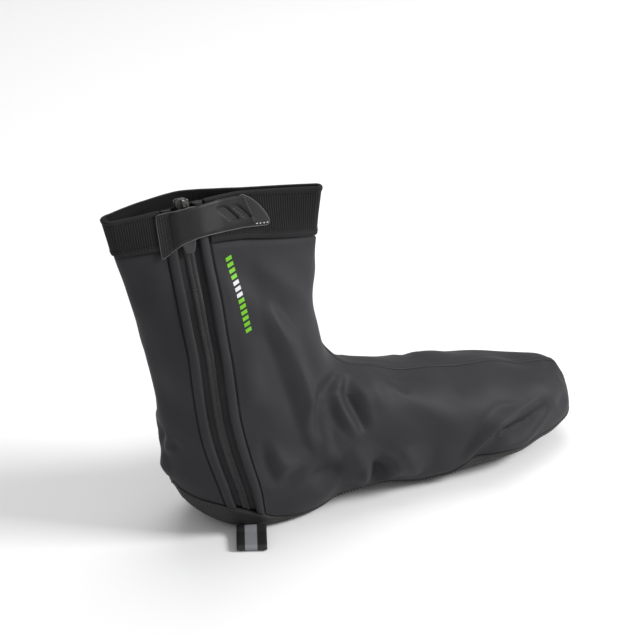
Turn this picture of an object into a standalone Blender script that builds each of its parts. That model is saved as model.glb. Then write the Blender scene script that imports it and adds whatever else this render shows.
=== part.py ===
"""A cycling overshoe for the right foot, empty and standing on its sole.

A softshell bootee with a thin sole, an elastic cuff, a zip up the outer side of the heel
and a closure tab over the top of the zip. Metres, +Z up, the toe points along +X, the outer
side of the foot is -Y and the floor is z = 0. Sections are worked out from the back of the
heel, and the finished pieces stand with the middle of the heel's level spot at the origin.
"""

import math

import bmesh
import bpy
import numpy as np
from mathutils.geometry import delaunay_2d_cdt

# Overall sizes
LENGTH = 0.316
BALL = 0.096
INSTEP = 0.099
HEIGHT = 0.229
ANKLE_DEPTH = 0.120
ANKLE_WIDTH = 0.076
MOUTH = 0.020
COLLAR_CAMBER = 0.006
INSTEP_FILLET = 0.016
HEEL_PANEL = 0.040

# Walls and clearances
WALL = 0.0015
SOLE_WALL = 0.002
CUFF_WALL = 0.0018
GAP = 0.0003

# Zip
ZIP_OPENING = 0.0146
WELT_WIDTH = 0.0072
WELT_HEIGHT = 0.0009
WELT_EDGE = 0.0006
TAPE = 0.0008
COIL_WIDTH = 0.0062
COIL_HEIGHT = 0.0017
TAPE_SPLIT = 0.001
SLIDER_WIDTH = 0.0086
SLIDER_LENGTH = 0.0100
SLIDER_PLATE = 0.0011
BAIL_WIDTH = 0.0018
BAIL_BAR = 0.0011
PULLER_LENGTH = 0.0320
PULLER_WIDTH = 0.0104
PULLER_NECK = 0.0074
PULLER_TIP = 0.0062
PULLER_THICK = 0.0016
PULLER_HOLE = 0.0046
PULLER_BAR = 0.0008
PULLER_LEAN = math.radians(1.6)
# The slider's top, and the puller's pivot, above the collar's edge.
SLIDER_ABOVE = 0.0040
PIVOT_UP = 0.0012
BAIL_REACH = 0.0019

# Cuff and closure tab
CUFF_HEIGHT = 0.0270
CUFF_PROUD = 0.0006
CUFF_LAP = 0.0080
HEM_HEIGHT = 0.0030
HEM_PROUD = 0.0004
TAB_BACKING = 0.0008
TAB_OVERLAY = 0.0007
TAB_REACH = 0.0560
TAB_BASE = 0.0180
TAB_ARCH = 0.0046

# Front seam and pull loop
SEAM_WIDTH = 0.0044
SEAM_HEIGHT = 0.0008
SEAM_SWING = 0.006
WEBBING = 0.0012
LOOP_WIDTH = 0.020
LOOP_LENGTH = 0.020
LOOP_TURN = math.radians(27.0)
LOOP_FOLD = 0.0016
# Height at which the loop's upper layer meets the heel, and where the heel's wall is widest.
LOOP_TOP = 0.0062
LOOP_RIM = 0.012
# Middle of the loop inside the heel, in shares of LENGTH and BALL.
LOOP_START = (0.158, -0.30)

# Shape of the foot's sections: height of the widest level in shares of the section's height,
# roundness above and below it, and what a step outside them counts for in shares of BALL.
WIDEST = 0.36
ROUND_ABOVE = 2.5
ROUND_BELOW = 2.0
STEP_ABOVE = 0.40
STEP_BELOW = 0.23
# Level part of the cuff's lower edge, in shares of CUFF_HEIGHT below the collar.
CUFF_DROP = 0.9
# Even share of the spacing of the upper's rows at the heel; the rest grows towards the collar.
EVEN_ROWS = 0.55
# Point inside the heel from which the front line is found, in shares of LENGTH and HEIGHT.
FRONT_HUB = (0.19, 0.26)

# Mesh fineness
RAYS = 360
SIDE_ROWS = 6
BODY_ROWS = 25
PANEL_COLUMNS = 11
HEEL_COLUMNS = 5
INNER_COLUMNS = 19


def table(columns, rows):
    """Turn rows of numbers into one array for each named column."""
    return dict(zip(columns, np.array(rows, float).T))


# Sections of the foot, heel to toe: along in shares of LENGTH, outer and inner half widths in
# shares of BALL, top and low in shares of INSTEP, flat the share of the half width that is level.
FOOT = table(
    ("along", "outer", "inner", "top", "low", "flat"),
    [
        (0.02, 0.080, 0.080, 0.67, 0.51, 0.40),
        (0.07, 0.220, 0.220, 0.81, 0.22, 0.50),
        (0.12, 0.310, 0.310, 0.91, 0.07, 0.50),
        (0.17, 0.370, 0.355, 0.97, 0.00, 0.55),
        (0.30, 0.410, 0.375, 1.00, 0.00, 0.50),
        (0.38, 0.420, 0.385, 0.98, 0.03, 0.35),
        (0.48, 0.445, 0.410, 0.89, 0.04, 0.30),
        (0.57, 0.485, 0.455, 0.80, 0.00, 0.35),
        (0.70, 0.515, 0.490, 0.715, 0.00, 0.40),
        (0.80, 0.500, 0.490, 0.645, 0.02, 0.42),
        (0.88, 0.440, 0.450, 0.580, 0.055, 0.42),
        (0.94, 0.350, 0.370, 0.535, 0.096, 0.42),
        (0.98, 0.230, 0.260, 0.495, 0.136, 0.42),
        (1.00, 0.030, 0.030, 0.425, 0.222, 0.42),
    ],
)

# Rows of FOOT between which the underside is level: under the heel and under the ball.
HEEL_FLAT = (3, 4)
BALL_FLAT = (7, 8)

# The middle of the heel's level spot, which becomes the origin.
ORIGIN = np.array([FOOT["along"][list(HEEL_FLAT)].mean() * LENGTH, 0.0, 0.0])

# Sections of the shaft, floor to collar: up in shares of HEIGHT, rear and front in shares of
# ANKLE_DEPTH, half in shares of ANKLE_WIDTH, twist in degrees, camber in shares of
# COLLAR_CAMBER, closed the share of the flat pressed section of the collar.
SHAFT = table(
    ("up", "rear", "front", "half", "twist", "camber", "closed"),
    [
        (0.000, 0.433, 0.917, 0.315, 0.0, 0.00, 0.0),
        (0.017, 0.300, 0.917, 0.382, 0.0, 0.00, 0.0),
        (0.052, 0.192, 0.933, 0.434, 0.0, 0.00, 0.0),
        (0.109, 0.100, 0.967, 0.460, 0.0, 0.00, 0.0),
        (0.197, 0.025, 1.000, 0.474, 0.0, 0.00, 0.0),
        (0.306, 0.008, 1.017, 0.487, 0.0, 0.00, 0.0),
        (0.437, -0.008, 0.983, 0.500, 0.0, 0.00, 0.0),
        (0.568, -0.050, 0.942, 0.474, -2.0, 0.00, 0.0),
        (0.721, -0.117, 0.917, 0.408, -5.0, 0.17, 0.2),
        (0.873, -0.183, 0.917, 0.290, -8.0, 0.50, 0.6),
        (1.000, -0.233, 0.933, 0.184, -10.0, 1.00, 1.0),
    ],
)

# The pressed section of the collar: along from the rear fold -1 to the front fold 1, half gap
# in shares of MOUTH.
PRESSED = table(
    ("along", "half"),
    [(-1.0, 0.25), (-0.6, 0.465), (-0.3, 0.515), (-0.1, 0.415), (0.1, 0.26), (0.3, 0.15), (1.0, 0.13)],
)

# The seam of sole and upper: along in shares of LENGTH, up in shares of HEEL_PANEL.
SEAM = table(
    ("along", "up"),
    [
        (0.010, 0.98),
        (0.034, 0.82),
        (0.060, 0.70),
        (0.090, 0.63),
        (0.130, 0.54),
        (0.170, 0.40),
        (0.215, 0.20),
        (0.270, 0.14),
        (0.450, 0.17),
        (0.560, 0.19),
        (0.620, 0.27),
        (0.670, 0.42),
        (0.750, 0.47),
        (0.850, 0.43),
        (0.930, 0.46),
        (0.970, 0.55),
        (1.000, 0.65),
    ],
)

# Lower and upper edge of the cuff: along in shares of ANKLE_DEPTH, drop of the lower edge and
# rise of the top edge in shares of CUFF_HEIGHT, both from their level parts.
CUFF_EDGE = table(
    ("along", "drop", "rise"),
    [
        (-0.20, 0.11, -0.13),
        (0.03, 0.02, -0.02),
        (0.28, 0.00, 0.08),
        (0.45, 0.04, 0.08),
        (0.62, 0.15, 0.05),
        (0.93, 0.37, 0.00),
    ],
)

# Middle of the zip: up in shares of HEIGHT, along in shares of ANKLE_DEPTH. The first two rows
# lie below the zip's end and carry its line on down the sole.
ZIP_PATH = table(
    ("up", "along"),
    [
        (0.000, 0.600),
        (0.030, 0.450),
        (0.083, 0.373),
        (0.167, 0.327),
        (0.275, 0.270),
        (0.432, 0.213),
        (0.590, 0.188),
        (0.677, 0.177),
        (0.780, 0.172),
        (1.000, 0.165),
    ],
)

# Outline of the closure tab: ahead of the zip in shares of TAB_REACH where positive and of
# TAB_BASE where negative, down from the collar edge in shares of CUFF_HEIGHT.
TAB_OUTLINE = [
    (-1.00, 0.07),
    (0.74, 0.07),
    (0.84, 0.18),
    (0.92, 0.35),
    (0.98, 0.55),
    (1.00, 0.71),
    (0.97, 0.79),
    (0.86, 0.79),
    (0.10, 0.79),
    (-0.25, 0.84),
    (-0.56, 0.94),
    (-0.95, 1.08),
    (-1.00, 1.06),
]
# Slanted end of the smooth overlay, as two points in the same shares.
OVERLAY_END = [(0.76, 0.09), (0.83, 0.77)]
OVERLAY_START = -0.56
OVERLAY_INSET = 0.0008
# The two slanted windows of the overlay.
WINDOWS = [
    [(0.38, 0.26), (0.50, 0.26), (0.64, 0.58), (0.53, 0.59)],
    [(0.58, 0.28), (0.65, 0.28), (0.80, 0.57), (0.72, 0.59)],
]


def curve(columns, name, at, key):
    """Monotone cubic through one column of a table."""
    xs = columns[key]
    ys = columns[name]
    step = np.diff(xs)
    rate = np.diff(ys) / step
    slope = np.zeros_like(ys)
    same = rate[:-1] * rate[1:] > 0
    first = 2 * step[1:] + step[:-1]
    second = step[1:] + 2 * step[:-1]
    with np.errstate(divide="ignore", invalid="ignore"):
        mean = (first + second) / (first / rate[:-1] + second / rate[1:])
    slope[1:-1] = np.where(same, mean, 0.0)
    slope[0] = rate[0]
    slope[-1] = rate[-1]
    at = np.clip(at, xs[0], xs[-1])
    i = np.clip(np.searchsorted(xs, at) - 1, 0, len(xs) - 2)
    t = (at - xs[i]) / step[i]
    near = (1 + 2 * t) * (1 - t) ** 2 * ys[i] + t * (1 - t) ** 2 * step[i] * slope[i]
    far = t * t * (3 - 2 * t) * ys[i + 1] + t * t * (t - 1) * step[i] * slope[i + 1]
    return near + far


def floor_level(x):
    """Height of the underside: level at the heel, then arch and toe spring."""
    share = np.maximum(x / LENGTH, FOOT["along"][HEEL_FLAT[0]])
    return curve(FOOT, "low", share, "along") * INSTEP


def seam_level(x):
    """Height of the seam between sole and upper."""
    return curve(SEAM, "up", x / LENGTH, "along") * HEEL_PANEL


def cuff_level(x):
    """Height of the cuff's lower edge."""
    return HEIGHT - CUFF_HEIGHT * (CUFF_DROP + curve(CUFF_EDGE, "drop", x / ANKLE_DEPTH, "along"))


def collar_level(x):
    """Height of the collar's edge."""
    return HEIGHT + CUFF_HEIGHT * curve(CUFF_EDGE, "rise", x / ANKLE_DEPTH, "along")


def zip_place(z):
    """How far forward the middle of the zip lies at a height."""
    return curve(ZIP_PATH, "along", z / HEIGHT, "up") * ANKLE_DEPTH


def foot(x, y, z):
    """Signed distance, roughly, to the foot part: rounder above its widest level than below."""
    share = x / LENGTH
    outer = curve(FOOT, "outer", share, "along") * BALL
    inner = curve(FOOT, "inner", share, "along") * BALL
    top = curve(FOOT, "top", share, "along") * INSTEP
    low = curve(FOOT, "low", share, "along") * INSTEP
    half = np.where(y < 0, outer, inner)
    level = half * curve(FOOT, "flat", share, "along")
    wide = low + (top - low) * WIDEST
    above = z > wide
    up = np.where(above, (z - wide) / (top - wide), (wide - z) / (wide - low))
    side = np.where(above, np.abs(y) / half, np.maximum(np.abs(y) - level, 0) / (half - level))
    power = np.where(above, ROUND_ABOVE, ROUND_BELOW)
    reach = (side**power + np.abs(up) ** power) ** (1 / power)
    past = np.maximum(share - FOOT["along"][-1], 0) + np.maximum(FOOT["along"][0] - share, 0)
    scale = np.where(above, STEP_ABOVE, STEP_BELOW) * BALL
    return (reach - 1) * scale + past * LENGTH * 40


def shaft(x, y, z):
    """Signed distance, roughly, to the shaft: oval at the ankle, pressed flat at the collar."""
    up = z / HEIGHT
    rear = curve(SHAFT, "rear", up, "up") * ANKLE_DEPTH
    front = curve(SHAFT, "front", up, "up") * ANKLE_DEPTH
    half = curve(SHAFT, "half", up, "up") * ANKLE_WIDTH
    turn = np.radians(curve(SHAFT, "twist", up, "up"))
    camber = curve(SHAFT, "camber", up, "up") * COLLAR_CAMBER
    closed = curve(SHAFT, "closed", up, "up")
    ahead = x - (rear + front) / 2
    depth = (front - rear) / 2 / np.cos(turn)
    along = ahead * np.cos(turn) + y * np.sin(turn)
    across = y * np.cos(turn) - ahead * np.sin(turn)
    share = np.clip(along / depth, -1, 1)
    bent = across - camber * (1 - share**2)
    oval = (np.hypot(along / depth, bent / half) - 1) * ANKLE_WIDTH / 2
    ends = PRESSED["half"] * MOUTH
    core = np.clip(along, ends[0] - depth, depth - ends[-1])
    share = core / depth
    gap = curve(PRESSED, "half", share, "along") * MOUTH
    pressed = np.hypot(along - core, across - camber * (1 - share**2)) - gap
    return oval * (1 - closed) + pressed * closed


def form(x, y, z):
    """The overshoe's outer form: foot and shaft with a fillet over the instep."""
    first = foot(x, y, z)
    second = shaft(x, y, z)
    mix = np.clip(0.5 + 0.5 * (second - first) / INSTEP_FILLET, 0, 1)
    return second * (1 - mix) + first * mix - INSTEP_FILLET * mix * (1 - mix)


def outward(points):
    """Unit normals of the form at points near it."""
    d = 0.0002
    x, y, z = points[..., 0], points[..., 1], points[..., 2]
    slope = np.stack(
        [
            form(x + d, y, z) - form(x - d, y, z),
            form(x, y + d, z) - form(x, y - d, z),
            form(x, y, z + d) - form(x, y, z - d),
        ],
        axis=-1,
    )
    return slope / np.linalg.norm(slope, axis=-1, keepdims=True)


def crossing(start, direction, reach):
    """Distances along rays from inside the form to its surface."""
    near = np.zeros(len(direction))
    far = np.full(len(direction), reach)
    for _ in range(34):
        middle = (near + far) / 2
        p = start(direction * middle[:, None])
        inside = form(p[:, 0], p[:, 1], p[:, 2]) < 0
        near = np.where(inside, middle, near)
        far = np.where(inside, far, middle)
    return near


def loop_on(level, centre, half_depth):
    """The form's loop on a sheet z = level(x), from the toe side towards the outer side."""
    z = float(level(np.array(centre)))
    turn = math.radians(float(curve(SHAFT, "twist", max(z / HEIGHT, 0), "up")))
    ys = np.linspace(-BALL, BALL, 241)
    inside = ys[form(np.full(241, centre), ys, np.full(241, z)) < 0]
    middle = (inside[0] + inside[-1]) / 2
    half_width = (inside[-1] - inside[0]) / 2
    angle = np.linspace(0, -2 * math.pi, RAYS, endpoint=False)
    along = np.cos(angle) * half_depth
    across = np.sin(angle) * half_width
    rays = np.stack(
        [
            along * math.cos(turn) - across * math.sin(turn),
            along * math.sin(turn) + across * math.cos(turn),
            np.zeros(RAYS),
        ],
        axis=-1,
    )

    def place(offset):
        x = centre + offset[:, 0]
        return np.stack([x, middle + offset[:, 1], level(x)], axis=-1)

    return place(rays * crossing(place, rays, 2.6)[:, None])


def front_line():
    """The form's centre line from the toe over the instep to the collar, with arc shares."""
    hub = np.array([FRONT_HUB[0] * LENGTH, 0.0, FRONT_HUB[1] * HEIGHT])
    toe = np.array([LENGTH, seam_level(np.array(LENGTH))])
    low = math.atan2(toe[1] - hub[2], toe[0] - hub[0])
    high = math.atan2(HEIGHT - hub[2], SHAFT["front"][-1] * ANKLE_DEPTH - hub[0])
    angle = np.linspace(low, high, RAYS)
    rays = np.stack([np.cos(angle), np.zeros(RAYS), np.sin(angle)], axis=-1)

    def place(offset):
        p = hub + offset
        up = np.clip(p[:, 2] / HEIGHT, 0, 1)
        p[:, 1] = np.tan(np.radians(curve(SHAFT, "twist", up, "up"))) * (p[:, 0] - ANKLE_DEPTH * 0.35)
        p[:, 2] = up * HEIGHT
        return p

    line = place(rays * crossing(place, rays, LENGTH)[:, None])[:, [0, 2]]
    line[0] = toe
    run = np.concatenate([[0], np.cumsum(np.hypot(*np.diff(line, axis=0).T))])
    return line, run / run[-1]


def body_levels():
    """Sheets for the rows of the upper, from the seam to the cuff's lower edge."""
    line, share = front_line()
    rear_seam = float(seam_level(np.array(0.0)))
    rear_cuff = float(cuff_level(np.array(-0.2 * ANKLE_DEPTH)))
    front_cuff = float(cuff_level(np.array(ANKLE_DEPTH)))
    last = float(np.interp(front_cuff, line[share > 0.5, 1], share[share > 0.5]))
    levels = []
    for step in np.linspace(0, 1, BODY_ROWS):
        front_x = float(np.interp(step * last, share, line[:, 0]))
        front_z = float(np.interp(step * last, share, line[:, 1]))
        rear_z = rear_seam + (rear_cuff - rear_seam) * (EVEN_ROWS * step + (1 - EVEN_ROWS) * step**2)
        rear_x = float(curve(SHAFT, "rear", rear_z / HEIGHT, "up")) * ANKLE_DEPTH

        def level(x, step=step, front_x=front_x, front_z=front_z, rear_x=rear_x, rear_z=rear_z):
            straight = rear_z + (front_z - rear_z) * (x - rear_x) / (front_x - rear_x)
            seam_line = rear_seam + (line[0, 1] - rear_seam) * x / LENGTH
            cuff_line = rear_cuff + (front_cuff - rear_cuff) * (x / ANKLE_DEPTH + 0.2) / 1.2
            low = (seam_level(x) - seam_line) * (1 - step) ** 3
            high = (cuff_level(x) - cuff_line) * step**6
            return straight + low + high

        levels.append((level, (front_x + rear_x) / 2, (front_x - rear_x) / 2))
    return levels


def collar_middle():
    """Middle and half depth of the shaft just below the collar."""
    front = SHAFT["front"][-2] * ANKLE_DEPTH
    rear = SHAFT["rear"][-2] * ANKLE_DEPTH
    return (front + rear) / 2, (front - rear) / 2


def cuff_levels():
    """Sheets for the rows of the cuff, from its lower edge to the collar."""
    hem = 1 - HEM_HEIGHT / CUFF_HEIGHT
    lap = CUFF_LAP / CUFF_HEIGHT
    levels = []
    for share in (0.0, lap, (lap + hem) / 2, hem - 0.01, hem, 1.0):

        def level(x, share=share):
            return cuff_level(x) * (1 - share) + collar_level(x) * share

        levels.append((level, *collar_middle()))
    return levels


def side_levels():
    """Sheets for the rows of the sole's side, from the underside to the seam."""
    levels = []
    for share in np.linspace(0, 1, SIDE_ROWS):

        def level(x, share=share):
            low = floor_level(x) + GAP
            return low * (1 - share) + seam_level(x) * share

        levels.append((level, LENGTH / 2, LENGTH / 2))
    return levels


def arc(loop):
    """Distances along a closed loop of points, with its whole length last."""
    gaps = np.linalg.norm(np.roll(loop, -1, axis=0) - loop, axis=1)
    return np.concatenate([[0], np.cumsum(gaps)])


def on_loop(loop, run, place):
    """Points of a loop at distances along it."""
    closed = np.vstack([loop, loop[:1]])
    place = np.mod(place, run[-1])
    return np.stack([np.interp(place, run, closed[:, k]) for k in range(3)], axis=-1)


def landmarks(loop):
    """Distances along a loop of the front seam, the zip's middle and the rear."""
    run = arc(loop)
    nose = int(np.argmax(loop[:, 0]))
    front = run[nose]
    x = float(loop[nose, 0])
    swing = np.interp(x, [0.36 * LENGTH, 0.42 * LENGTH, 0.66 * LENGTH, 0.9 * LENGTH], [0, 1, 1, 0])
    front += SEAM_SWING * swing
    rear = run[int(np.argmin(loop[:, 0]))]
    ahead = loop[:, 0] - zip_place(loop[:, 2])
    for i in range(nose, nose + len(loop)):
        a, b = i % len(loop), (i + 1) % len(loop)
        if ahead[a] > 0 >= ahead[b]:
            part = ahead[a] / (ahead[a] - ahead[b])
            middle = run[a] + part * (run[a + 1] - run[a])
            break
    whole = run[-1]
    middle = front + (middle - front) % whole
    rear = front + (rear - front) % whole
    return run, front, middle, rear


def columns(front, middle, rear, whole):
    """Distances along a loop of the grid's columns, from the front seam round the outer side."""
    foot_, crest = SEAM_WIDTH / 2, SEAM_WIDTH / 5
    edge = ZIP_OPENING / 2
    welt = edge + WELT_WIDTH
    places = [front - foot_, front - crest, front + crest]
    places += list(np.linspace(front + foot_, middle - welt - WELT_EDGE, PANEL_COLUMNS))
    places += [middle - welt, middle - edge, middle - TAPE_SPLIT / 2]
    places += [middle + TAPE_SPLIT / 2, middle + edge, middle + welt]
    places += list(np.linspace(middle + welt + WELT_EDGE, rear, HEEL_COLUMNS))
    places += list(np.linspace(rear, whole + front - foot_, INNER_COLUMNS + 1))[1:-1]
    return np.array(places)


# Column numbers that the pieces share.
SEAM_CREST = (1, 2)
PANEL_END = 2 + PANEL_COLUMNS
WELT_FRONT = (PANEL_END + 1, PANEL_END + 2)
SPLIT = (PANEL_END + 3, PANEL_END + 4)
WELT_REAR = (PANEL_END + 5, PANEL_END + 6)
HEEL_START = PANEL_END + 7


def rows_of(levels):
    """Grid of points on the form: a row for each sheet, a column for each place round it."""
    rows = []
    for level, centre, half in levels:
        loop = loop_on(level, centre, half)
        run, front, middle, rear = landmarks(loop)
        rows.append(on_loop(loop, run, columns(front, middle, rear, run[-1])))
    return np.array(rows)


def numbered(grid_shape):
    """Number of each point of a grid."""
    count = grid_shape[0] * grid_shape[1]
    return np.arange(count).reshape(grid_shape)


def cells(shape, keep):
    """Four-sided faces of a grid that closes round its columns, where keep says so."""
    number = numbered(shape)
    faces = []
    for j in range(shape[0] - 1):
        for i in range(shape[1]):
            k = (i + 1) % shape[1]
            if keep(j, i):
                faces.append((number[j, i], number[j, k], number[j + 1, k], number[j + 1, i]))
    return faces


def material(name, colour, rough, metallic=0.0):
    """Plain surface with one colour."""
    made = bpy.data.materials.new(name)
    made.use_nodes = True
    surface = made.node_tree.nodes["Principled BSDF"]
    surface.inputs["Base Color"].default_value = (*colour, 1.0)
    surface.inputs["Roughness"].default_value = rough
    surface.inputs["Metallic"].default_value = metallic
    made.diffuse_color = (*colour, 1.0)
    return made


def place_mesh(name, points, faces, finish, smooth=True, centre=ORIGIN):
    """One closed mesh object with its faces pointing out and its own origin at a centre."""
    mesh = bpy.data.meshes.new(name)
    points = np.asarray(points) - centre
    mesh.from_pydata(points.tolist(), [], [tuple(map(int, f)) for f in faces])
    work = bmesh.new()
    work.from_mesh(mesh)
    loose = [v for v in work.verts if not v.link_faces]
    bmesh.ops.delete(work, geom=loose, context="VERTS")
    bmesh.ops.triangulate(work, faces=work.faces)
    bmesh.ops.recalc_face_normals(work, faces=work.faces)
    work.to_mesh(mesh)
    work.free()
    if smooth:
        mesh.shade_smooth()
        mesh.set_sharp_from_angle(angle=math.radians(40))
    mesh.materials.append(finish)
    made = bpy.data.objects.new(name, mesh)
    made.location = centre - ORIGIN
    bpy.context.scene.collection.objects.link(made)
    return made


def thick(name, outer, inner, faces, finish, centre=ORIGIN):
    """Solid between two copies of one set of faces, closed along its free edges."""
    count = len(outer)
    used = {}
    for face in faces:
        for a, b in zip(face, face[1:] + face[:1]):
            used[(a, b)] = used.get((a, b), 0) + 1
    rim = [edge for edge in used if (edge[1], edge[0]) not in used]
    solid = [tuple(face) for face in faces]
    solid += [tuple(v + count for v in reversed(face)) for face in faces]
    solid += [(b, a, a + count, b + count) for a, b in rim]
    return place_mesh(name, np.vstack([outer, inner]), solid, finish, centre=centre)


def flat_list(grid):
    """Points of a grid as one list."""
    return grid.reshape(-1, 3)


def make_upper(body, cuff, finish):
    """Hollow wall, open at the collar, underneath and along the zip."""
    tuck = CUFF_WALL - CUFF_PROUD + GAP
    grid = np.concatenate([body, cuff])
    last = len(body)
    grid[0, :, 2] += GAP / 2
    grid[last - 1, :, 2] -= 2 * GAP
    normal = outward(grid)
    outer = np.zeros(grid.shape[:2])
    for crest in SEAM_CREST:
        outer[:last, crest] = SEAM_HEIGHT
    outer[last:] = -tuck
    for i in WELT_FRONT + WELT_REAR:
        outer[:, i] = WELT_HEIGHT
    inner = np.full(grid.shape[:2], -WALL)
    inner[last:] = -tuck - WALL
    inner[last:, PANEL_END + 1 : HEEL_START] = -WALL
    slot = range(WELT_FRONT[1], WELT_REAR[0])

    def keep(j, i):
        beside_zip = PANEL_END <= i < HEEL_START
        return i not in slot and (j <= last or beside_zip)

    faces = cells(grid.shape[:2], keep)
    out = flat_list(grid + normal * outer[..., None])
    back = flat_list(grid + normal * inner[..., None])
    return thick("upper", out, back, faces, finish)


def make_sole(side, finish):
    """Tray with a level underside, arch and toe spring, its rim along the seam."""
    side = side.copy()
    side[-1, :, 2] -= GAP / 2
    normal = outward(side)
    inner = side - normal * SOLE_WALL
    side[0, :, 2] = floor_level(side[0, :, 0])
    inner[0, :, 2] = floor_level(inner[0, :, 0]) + SOLE_WALL
    faces = cells(side.shape[:2], lambda j, i: True)
    number = numbered(side.shape[:2])
    edge = [(float(p[0]), float(p[1])) for p in inner[0]]
    heel, ball = (FOOT["along"][list(rows)] * LENGTH for rows in (HEEL_FLAT, BALL_FLAT))
    stations = np.concatenate(
        [
            np.linspace(heel[0], heel[1], 5),
            np.linspace(heel[1], ball[0], 8)[1:-1],
            np.linspace(ball[0], ball[1], 5),
            np.linspace(ball[1], 0.96 * LENGTH, 8)[1:],
        ]
    )
    ring = side.shape[1]
    bound = list(edge)
    for x in stations:
        ys = [y for y in np.linspace(-0.3, 0.3, 4) * BALL if within(bound, x, y, 0.004)]
        edge += [(float(x), float(y)) for y in ys]
    bounds = [(i, (i + 1) % ring) for i in range(ring)]
    spots, _, triangles, _, _, _ = delaunay_2d_cdt(edge, bounds, [], 1, 1e-6)
    spots = np.array([(p.x, p.y) for p in spots])[ring:]
    count = side.shape[0] * ring
    low = np.column_stack([spots, floor_level(spots[:, 0])])
    high = low + np.array([0, 0, SOLE_WALL])
    remap = [int(number[0, i]) for i in range(ring)] + [count + i for i in range(len(spots))]
    faces += [tuple(remap[v] for v in t) for t in triangles]
    outer = np.vstack([flat_list(side), low])
    back = np.vstack([flat_list(inner), high])
    return thick("sole", outer, back, faces, finish)


def within(polygon, x, y, margin):
    """Whether a point lies inside a polygon, and at least a margin from its corners."""
    inside = False
    for (ax, ay), (bx, by) in zip(polygon, polygon[1:] + polygon[:1]):
        if (ay > y) != (by > y) and x < (bx - ax) * (y - ay) / (by - ay) + ax:
            inside = not inside
    return inside and min(math.hypot(ax - x, ay - y) for ax, ay in polygon) > margin


def make_cuff(cuff, finish):
    """Elastic band with a hem, from beside the zip's front round to its rear."""
    normal = outward(cuff)
    outer = np.full(cuff.shape[:2], CUFF_PROUD)
    outer[-2:] += HEM_PROUD
    inner = np.full(cuff.shape[:2], CUFF_PROUD - CUFF_WALL)
    ahead = cuff.copy()
    ahead[:, PANEL_END] += (ahead[:, PANEL_END - 1] - ahead[:, PANEL_END]) * 0.08
    ahead[:, HEEL_START] += (ahead[:, HEEL_START + 1] - ahead[:, HEEL_START]) * 0.08

    def keep(j, i):
        return not PANEL_END <= i < HEEL_START

    faces = cells(cuff.shape[:2], keep)
    out = flat_list(ahead + normal * outer[..., None])
    back = flat_list(ahead + normal * inner[..., None])
    return thick("cuff", out, back, faces, finish)


def make_tape(name, grid, first, last, finish):
    """One tape of the zip, behind the wall beside the slot."""
    normal = outward(grid)
    top = -WALL - GAP
    number_of = range(first, last)
    faces = cells(grid.shape[:2], lambda j, i: i in number_of)
    out = flat_list(grid + normal * top)
    back = flat_list(grid + normal * (top - TAPE))
    return thick(name, out, back, faces, finish)


def make_coil(grid, finish):
    """The closed coil as one rounded strip on the tapes."""
    middle = (grid[:, SPLIT[0]] + grid[:, SPLIT[1]]) / 2
    forward = grid[:, SPLIT[0]] - grid[:, SPLIT[1]]
    forward /= np.linalg.norm(forward, axis=1, keepdims=True)
    normal = outward(middle)
    half = COIL_WIDTH / 2
    across = [half, half * 0.6, 0.0, -half * 0.6, -half]
    height = [0.35, 1.0, 1.0, 1.0, 0.35]
    base = -WALL
    outer = np.stack([middle + forward * a + normal * (base + COIL_HEIGHT * h) for a, h in zip(across, height)], 1)
    inner = np.stack([middle + forward * a + normal * base for a in across], 1)
    faces = cells(outer.shape[:2], lambda j, i: i < len(across) - 1)
    return thick("zip_coil", flat_list(outer), flat_list(inner), faces, finish)


class Band:
    """The form round the collar, unrolled: ahead of the zip's middle and down from the edge."""

    def __init__(self, steps=17):
        self.shares = np.linspace(-0.15, 1.4, steps)
        self.loops = []
        for share in self.shares:

            def level(x, share=share):
                return collar_level(x) - CUFF_HEIGHT * share

            loop = loop_on(level, *collar_middle())
            run, _, middle, _ = landmarks(loop)
            self.loops.append((loop, run, middle))

    def at(self, ahead, down):
        """Point of the form at a distance ahead of the zip and down from the collar's edge."""
        place = np.clip(down / CUFF_HEIGHT, self.shares[0], self.shares[-1]) - self.shares[0]
        place = place / (self.shares[1] - self.shares[0])
        k = int(min(place, len(self.shares) - 2))
        part = place - k
        ends = []
        for loop, run, middle in self.loops[k : k + 2]:
            ends.append(on_loop(loop, run, np.array([middle - ahead]))[0])
        return ends[0] * (1 - part) + ends[1] * part


def tab_point(share, down):
    """A point of the tab's outline in metres ahead of the zip and down from the edge."""
    return (share * (TAB_REACH if share > 0 else TAB_BASE), down * CUFF_HEIGHT)


def tab_height(ahead):
    """How far the tab's inner face stands off the form: low on the cuff, arched at the zip."""
    seat = CUFF_PROUD + HEM_PROUD + 2 * GAP
    knots = [-TAB_BASE, -TAB_BASE * 0.62, -ZIP_OPENING * 0.35, ZIP_OPENING * 0.5, ZIP_OPENING * 1.7]
    rise = [0, 0.25, 1, 1, 0]
    return seat + (TAB_ARCH - seat) * np.interp(ahead, knots, rise)


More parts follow.
